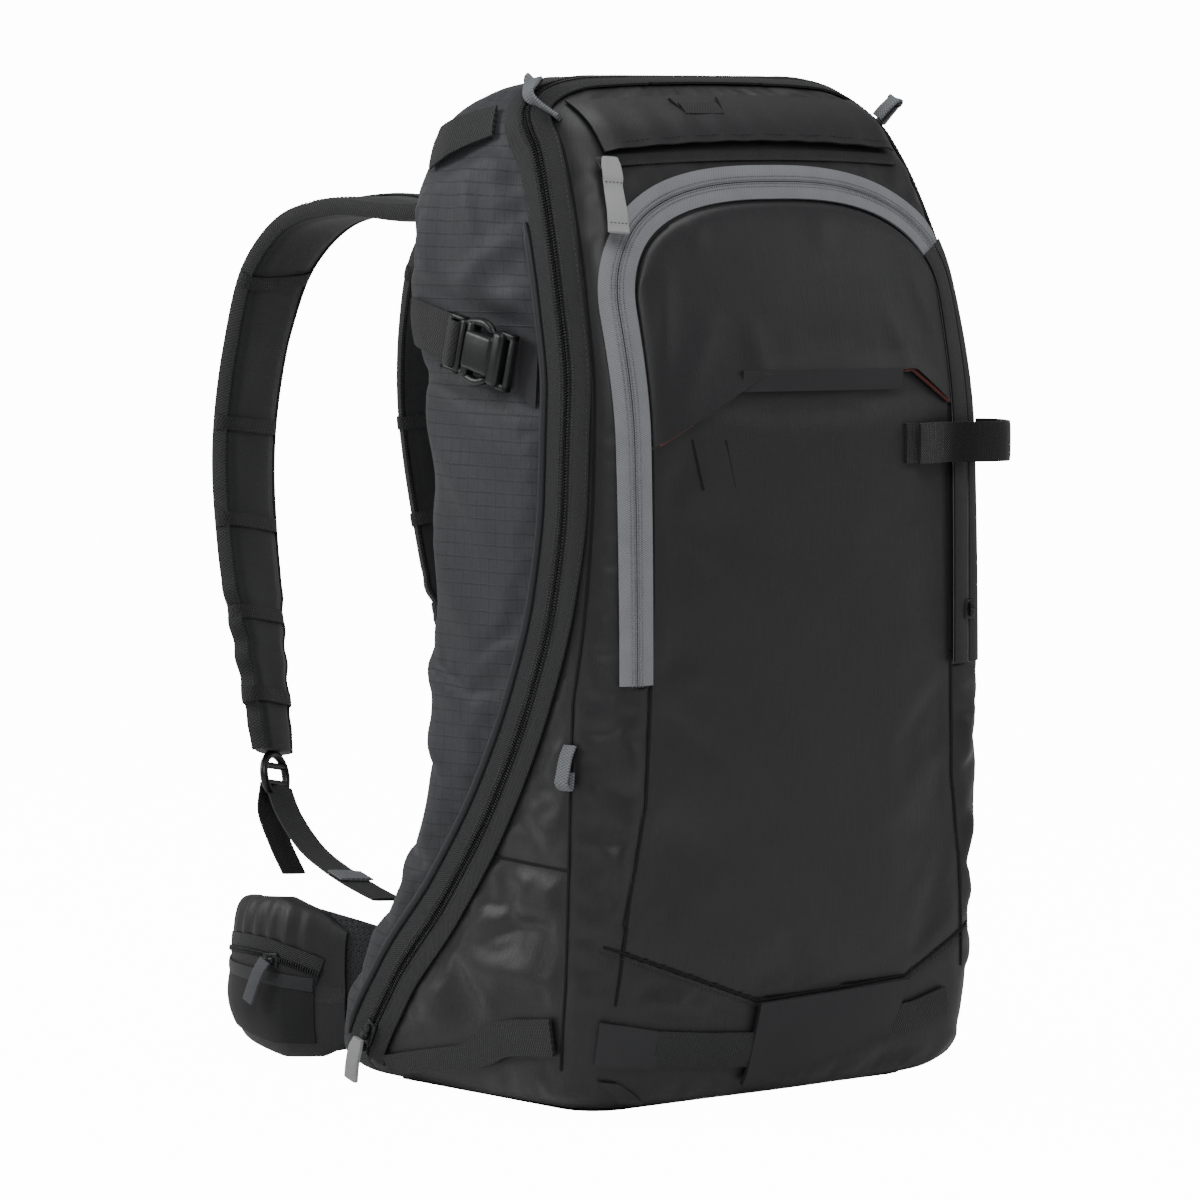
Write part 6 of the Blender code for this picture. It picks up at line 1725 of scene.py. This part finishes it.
# ---------------------------------------------------------------- hip wings
def wing_shape(rows=90, around=64):
    """Grid of the left wing's skin: along the wing, then round its section."""
    path = smooth_path([(-0.1215, 0.1205, 0), (-0.131, 0.160, 0), (-0.126, 0.200, 0), (-0.104, 0.228, 0),
                        (-0.080, 0.240, 0)], rows)
    tangent = unit(np.gradient(path, axis=0))
    out = np.cross(tangent, [0, 0, -1.0])
    share = np.linspace(0, 1, rows)
    ease = lambda at, value: np.interp(share, at, value)
    low = ease([0, 0.12, 0.3, 0.7, 0.9, 1], [0.014, 0.006, 0.0035, 0.011, 0.022, 0.033])
    high = ease([0, 0.12, 0.3, 0.7, 0.9, 1], [0.078, 0.088, 0.0945, 0.0895, 0.077, 0.062])
    thick = ease([0, 0.12, 0.25, 0.75, 0.92, 1], [0.009, 0.018, 0.0245, 0.0235, 0.016, 0.008])
    angles = np.linspace(0, 2 * math.pi, around, endpoint=False)
    c, s = np.cos(angles), np.sin(angles)
    u = np.sign(c) * np.abs(c) ** 0.62
    v = np.sign(s) * np.abs(s) ** 0.62
    middle = (low + high) / 2
    tall = (high - low) / 2
    outer_side = np.clip(u, 0, 1)
    grid = (path[:, None] + (u[None] * thick[:, None] / 2)[..., None] * out[:, None]
            + (v[None] * tall[:, None] + middle[:, None])[..., None] * np.array([0, 0, 1.0]))
    z_share = (v[None] * 0.5 + 0.5) * np.ones((rows, 1))
    upper = np.clip((z_share - 0.62) / 0.10, 0, 1)
    gathers = 0.0011 * np.sin(share[:, None] * 74 + z_share * 3)
    seam = -0.0016 * np.exp(-((z_share - wing_zip(share)[:, None]) / 0.035) ** 2)
    puff = 0.0010 * np.sin(math.pi * np.clip(z_share / 0.6, 0, 1)) * np.sin(share * 9.0)[:, None]
    rise = (gathers * upper * np.sin(math.pi * share)[:, None] + seam + puff) * outer_side[None]
    grid = grid + rise[..., None] * out[:, None]
    return grid, path, out, share, low, high, thick


def wing_zip(share):
    """Height share of the curved pocket zip along the wing."""
    return 0.66 - 0.10 * (share - 0.45) ** 2 * 6 - 0.02 * share


def wing_skin(at_share, at_height, grid_data, lift):
    """Points on the wing's outer face at a share along it and a height share, raised by lift."""
    _, path, out, share, low, high, thick = grid_data
    rows = np.clip(at_share * (len(share) - 1), 0, len(share) - 1)
    i = np.clip(rows.astype(int), 0, len(share) - 2)
    f = (rows - i)[:, None]

    def blend(values):
        part = f if values.ndim > 1 else f[:, 0]
        return values[i] * (1 - part) + values[i + 1] * part

    v = np.clip(at_height * 2 - 1, -0.999, 0.999)
    s = np.sign(v) * np.abs(v) ** (1 / 0.62)
    u = (1 - s ** 2) ** (0.5 * 0.62)
    z = blend(low) + (blend(high) - blend(low)) * at_height
    away = unit(blend(out))
    return blend(path) + away * (u * blend(thick) / 2 + lift)[:, None] + np.outer(z, [0, 0, 1.0]), away


def hip_wings():
    """Padded wings, their curved pocket zips, stretch pockets, pulls and the waist buckle."""
    data = wing_shape()
    grid = data[0]
    rows, around = grid.shape[:2]
    faces = [tuple(range(around))[::-1], tuple(range((rows - 1) * around, rows * around))]
    for i in range(rows - 1):
        for j in range(around):
            k = (j + 1) % around
            faces.append((i * around + j, i * around + k, (i + 1) * around + k, (i + 1) * around + j))
    along = run_length(data[1])
    round_way = np.linspace(0, 0.22, around)
    uv = np.stack([np.repeat(along[:, None], around, 1), np.repeat(round_way[None], rows, 0)],
                  -1).reshape(-1, 2)
    wing = (grid.reshape(-1, 3), faces, uv)
    share = np.linspace(0.10, 0.93, 110)
    line, _ = wing_skin(share, wing_zip(share), data, 0.0008)
    zip_tape = ribbon(line, (0, 0, 1), 0.0185, 0.0012, 7, 0.0003)
    coil_line, coil_away = wing_skin(share, wing_zip(share), data, 0.0022)
    pocket_share = np.linspace(0.12, 0.90, 60)
    columns = np.linspace(0.10, 0.50, 26)
    outer = []
    inner = []
    flat = []
    for height in columns:
        bulge = 0.0010 + 0.0026 * np.sin(math.pi * (pocket_share - 0.12) / 0.78) * math.sin(
            math.pi * (height - 0.10) / 0.40)
        top, _ = wing_skin(pocket_share, np.full(60, height), data, bulge + 0.0010)
        foot, _ = wing_skin(pocket_share, np.full(60, height), data, 0.0002)
        outer.append(top)
        inner.append(foot)
        flat.append(np.stack([np.interp(pocket_share, [0, 1], [0, along[-1]]),
                              np.full(60, height * 0.09)], -1))
    stretch = slab(np.stack(outer, 1), np.stack(inner, 1), np.stack(flat, 1))
    hem_line, _ = wing_skin(pocket_share, np.full(60, 0.505), data, 0.0022)
    hem = ribbon(hem_line, (0, 0, 1), 0.0075, 0.0014, 5, 0.0003)
    tip = np.array([-0.0785, 0.2415, 0.048])
    web_line = smooth_path([tip + [-0.004, -0.002, 0], tip + [0.012, 0.006, 0], tip + [0.026, 0.0100, 0],
                            tip + [0.031, 0.0112, 0]], 30)
    web = ribbon(web_line, (0, 0, 1), 0.0245, 0.0017, 8)
    middle = tip + [0.0448, 0.0135, 0.0]
    for side, name in SIDES:
        body = "hip_wing_" + name
        mine = lambda shape: shape if side < 0 else mirror_x(shape)
        flip = np.array([1, 1, 1]) if side < 0 else np.array([-1, 1, 1])
        shape = mine(wing)
        made = make_piece("wing_pad_" + name, shape, NYLON, body,
                          replaces=["hip_wing_" + name])
        root_rows = []
        for t in np.linspace(0, 1, 26):
            middle_line = np.array([-0.106, 0.092, 0]) * (1 - t) + np.array([-0.1245, 0.142, 0]) * t
            tall = 0.030 + 0.011 * t
            angles = np.linspace(0, 2 * math.pi, 28, endpoint=False)
            half_wide = 0.0060 + 0.0030 * math.sin(math.pi * t)
            c, s = np.cos(angles), np.sin(angles)
            broad = np.sign(c) * np.abs(c) ** 0.7 * half_wide
            root_rows.append(middle_line + np.outer(broad, [-0.94, 0.34, 0])
                             + np.outer(np.sign(s) * np.abs(s) ** 0.7 * tall + 0.048, [0, 0, 1.0]))
        root_verts = np.concatenate(root_rows)
        root_faces = [tuple(range(28))[::-1], tuple(range(25 * 28, 26 * 28))]
        root_faces += [(i * 28 + j, i * 28 + (j + 1) % 28, (i + 1) * 28 + (j + 1) % 28, (i + 1) * 28 + j)
                       for i in range(25) for j in range(28)]
        root_uv = np.stack([root_verts[:, 1], root_verts[:, 2]], -1)
        shape = mine((root_verts, root_faces, root_uv))
        made = make_piece("wing_root_" + name, shape, SPACER, None)
        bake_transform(made)
        shape = mine(zip_tape)
        make_piece("wing_zip_" + name, shape, BLACK_TAPE, body)
        items("wing_coil_" + name, [coil_line * flip], [coil_away * flip], 0.0016,
              (0.0011, 0.0042, 0.0018), COIL, body, "black_zip")
        shape = mine(stretch)
        make_piece("wing_pocket_" + name, shape, STRETCH, body)
        shape = mine(hem)
        make_piece("wing_hem_" + name, shape, STRAP_CLOTH, body)
        shape = mine(web)
        make_piece("waist_web_" + name, shape, BLACK_WEB, body,
                   replaces=["waist_webbing_" + name])
        axes = np.array([[1.0, 0, 0], [0, 0, 1.0], [0, 1.0, 0]])
        if side < 0:
            parts = [chunk((0.027, 0.033, 0.0098), middle + [0.0040, 0, 0], axes, 0.0028, 4)]
            parts += frame_bar((0.012, 0.033, 0.0060), (0.005, 0.026), middle - [0.0120, 0, 0], axes)
            whole = together(parts)
            target = "waist_buckle_socket"
        else:
            parts = [chunk((0.010, 0.033, 0.0080), middle - [0.0045, 0, 0], axes, 0.0020, 3)]
            parts += frame_bar((0.012, 0.033, 0.0060), (0.005, 0.026), middle - [0.0120, 0, 0], axes)
            for sign in (-1, 1):
                arm = smooth_path([middle + [0.000, 0, sign * 0.0115], middle + [0.008, 0, sign * 0.0138],
                                   middle + [0.0165, 0, sign * 0.0112]], 18)
                parts.append(tube(arm, np.linspace(0.0030, 0.0017, 18), 10))
            parts.append(chunk((0.016, 0.008, 0.0036), middle + [0.008, 0, 0], axes, 0.0012, 2))
            whole = mirror_x(together(parts))
            target = "waist_buckle_plug"
        make_piece(target + "_moulding", whole, ACETAL, body, replaces=[target])
        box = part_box("hip_zip_slider_" + name)
        seat = np.array((box[0] + box[1]) / 2)
        pull_axes = np.array([unit(np.array([0.1 * side, 1.0, 0])), [0, 0, 1.0], [float(side), 0, 0]])
        shape = together(slider_body(seat, pull_axes, (0.0115, 0.0085, 0.0045)))
        zip_body = "hip_zip_" + name
        make_piece("wing_slider_" + name, shape, ACETAL, zip_body,
                   replaces=["hip_zip_slider_" + name])
        drop = np.array([0.0035 * side, 0.010, -0.024])
        tab = smooth_path([seat + pull_axes[2] * 0.0030, seat + pull_axes[2] * 0.0050 + drop * 0.35,
                           seat + pull_axes[2] * 0.0045 + drop], 30)
        shape = ribbon(tab, (0, 0.9, 0.35), 0.0085, 0.0022, 5)
        make_piece("wing_pull_" + name, shape, DARK_TAB, zip_body)


# ---------------------------------------------------------------- back panel
def back_pad(name, node, half, low, high, thickness, channels, finish):
    """Padded panel on the wearer's side with sewn channels and a bound edge."""
    rows, columns = 80, 60
    x = np.linspace(-half, half, columns)
    z = np.linspace(low, high, rows)
    gx, gz = np.meshgrid(x, z)
    corner = 0.020
    over_x = np.maximum(np.abs(gx) - (half - corner), 0)
    over_z = np.maximum(np.abs(gz - (low + high) / 2) - ((high - low) / 2 - corner), 0)
    reach = np.hypot(over_x, over_z)
    pull = np.where(reach > 1e-6, np.minimum(reach, corner) / np.maximum(reach, 1e-6), 1.0)
    gx = np.sign(gx) * (np.minimum(np.abs(gx), half - corner) + over_x * pull)
    gz = (low + high) / 2 + np.sign(gz - (low + high) / 2) * (
        np.minimum(np.abs(gz - (low + high) / 2), (high - low) / 2 - corner) + over_z * pull)
    edge = np.minimum(half - np.abs(x)[None], np.minimum(z - low, high - z)[:, None])
    swell = np.clip(edge / 0.012, 0, 1)
    swell = np.sqrt(swell * (2 - swell))
    grid = on_back(gx, gz).reshape(rows, columns, 3)
    away = skin_normal(grid.reshape(-1, 3)).reshape(grid.shape)
    grooves = np.zeros((rows, columns))
    for kind, at in channels:
        along = gx if kind == "x" else gz
        grooves += np.exp(-((along - at) / 0.0042) ** 2)
    rise = thickness * (0.22 + 0.78 * swell) * (1 - 0.42 * np.clip(grooves, 0, 1))
    uv = np.stack([gx, gz], -1)
    shape = slab(grid + away * rise[..., None], grid + away * 0.0010, uv)
    made = make_piece(name, shape, finish, "back_section", replaces=[node])
    rim = np.concatenate([grid[0], grid[:, -1], grid[-1][::-1], grid[::-1, 0]])
    up = np.concatenate([away[0], away[:, -1], away[-1][::-1], away[::-1, 0]])
    line = even_steps(rim + up * (thickness * 0.18), 420)
    cord = tube(line, 0.0019, 8)
    make_piece(name + "_binding", cord, PIPING, "back_section")


def haul_loop():
    """Grab loop of folded webbing with its stitched feet."""
    seats = on_back(np.array([-0.034, 0.034]), 0.492)
    normal = skin_normal(seats)
    feet = seats + normal * 0.0105
    rise = np.array([0, 0.004, 0.030])
    crest = (feet[0] + feet[1]) / 2 + rise * 1.15
    route = smooth_path([feet[0], feet[0] + rise * 0.6 + [0.002, 0, 0], crest + [-0.018, 0, 0],
                         crest + [0.018, 0, 0], feet[1] + rise * 0.6 + [-0.002, 0, 0], feet[1]], 90)
    share = np.linspace(-1, 1, 90)
    shape = ribbon(route, (0, 1, -0.1), 0.0125 - 0.003 * np.clip(1 - np.abs(share) * 1.8, 0, 1), 0.0024,
                   7, 0.0006)
    make_piece("haul_web", shape, BLACK_WEB, "haul_loop",
               replaces=["haul_loop_webbing"])


# ---------------------------------------------------------------- inside and kept pieces
def folded_airbag():
    """The airbag folded in its pouch: stacked, rounded folds held by two tapes."""
    low, high = (np.array(c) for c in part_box("folded_airbag"))
    size = high - low
    middle = (low + high) / 2
    folds = []
    count = 7
    for k in range(count):
        place = middle + [0, 0, size[2] * ((k + 0.5) / count - 0.5)]
        inset = 0.002 + 0.0015 * (k % 2)
        folds.append(chunk((size[0] - inset * 2, size[1] - inset * 2, size[2] / count * 0.97), place,
                           np.eye(3), size[2] / count * 0.42, 4))
    shape = together(folds)
    made = make_piece("airbag_folds", shape, AIRBAG, "back_section",
                      replaces=["folded_airbag"])
    tapes = []
    for x in (-0.055, 0.055):
        loop = np.array([[x,
                          middle[1] + math.copysign(abs(math.cos(a)) ** 0.3, math.cos(a)) * (size[1] / 2),
                          middle[2] + math.copysign(abs(math.sin(a)) ** 0.3, math.sin(a)) * (size[2] / 2)]
                         for a in np.linspace(0, 2 * math.pi, 60)])
        tapes.append(ribbon(loop, (1, 0, 0), 0.016, 0.0012, 4))
    shape = together(tapes)
    make_piece("airbag_tapes", shape, BLACK_WEB, "back_section")


def finish_kept():
    """Materials of the pieces that keep their own shape."""
    kept = {"base_panel": (BASE_MOULDED, "base_fabric"), "pocket_divider": (LINING_SOLID, "black_nylon"),
            "frame_sheet": (POLYETHYLENE, "frame_plastic"), "wire_stay": (ALUMINIUM, "aluminium"),
            "gas_cylinder": (CYLINDER, "cylinder_metal"), "release_valve": (ALUMINIUM, "aluminium"),
            "trigger_cable_inner": (CABLE_SHEATH, "black_plastic"),
            "trigger_cable_strap": (CABLE_SHEATH, "black_plastic"),
            "trigger_handle": (TRIGGER, "trigger_plastic")}
    for node, (finish, slot) in kept.items():
        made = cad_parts[node]
        made.data.materials.clear()
        made.data.materials.append(finish)


BASE_MOULDED = moulded("coated_base_panel", "#121314", "#202123", 0.5, 0.00008, 1400.0)
LINING_SOLID = moulded("divider_lining_nylon", "#4C4F53", "#66696D", 0.6, 0.00005, 1800.0)
CABLE_SHEATH = moulded("extruded_nylon_sheath", "#121314", "#222325", 0.42)

shoulder_straps()
hip_wings()
back_pad("back_panel_pad", "back_foam", 0.092, 0.152, 0.452, 0.012,
         [("x", -0.030), ("x", 0.030), ("z", 0.225), ("z", 0.300), ("z", 0.375)], SPACER)
back_pad("lumbar_cushion", "lumbar_pad", 0.100, 0.030, 0.128, 0.022, [("x", -0.034), ("x", 0.034)], SPACER)
haul_loop()
folded_airbag()
finish_kept()
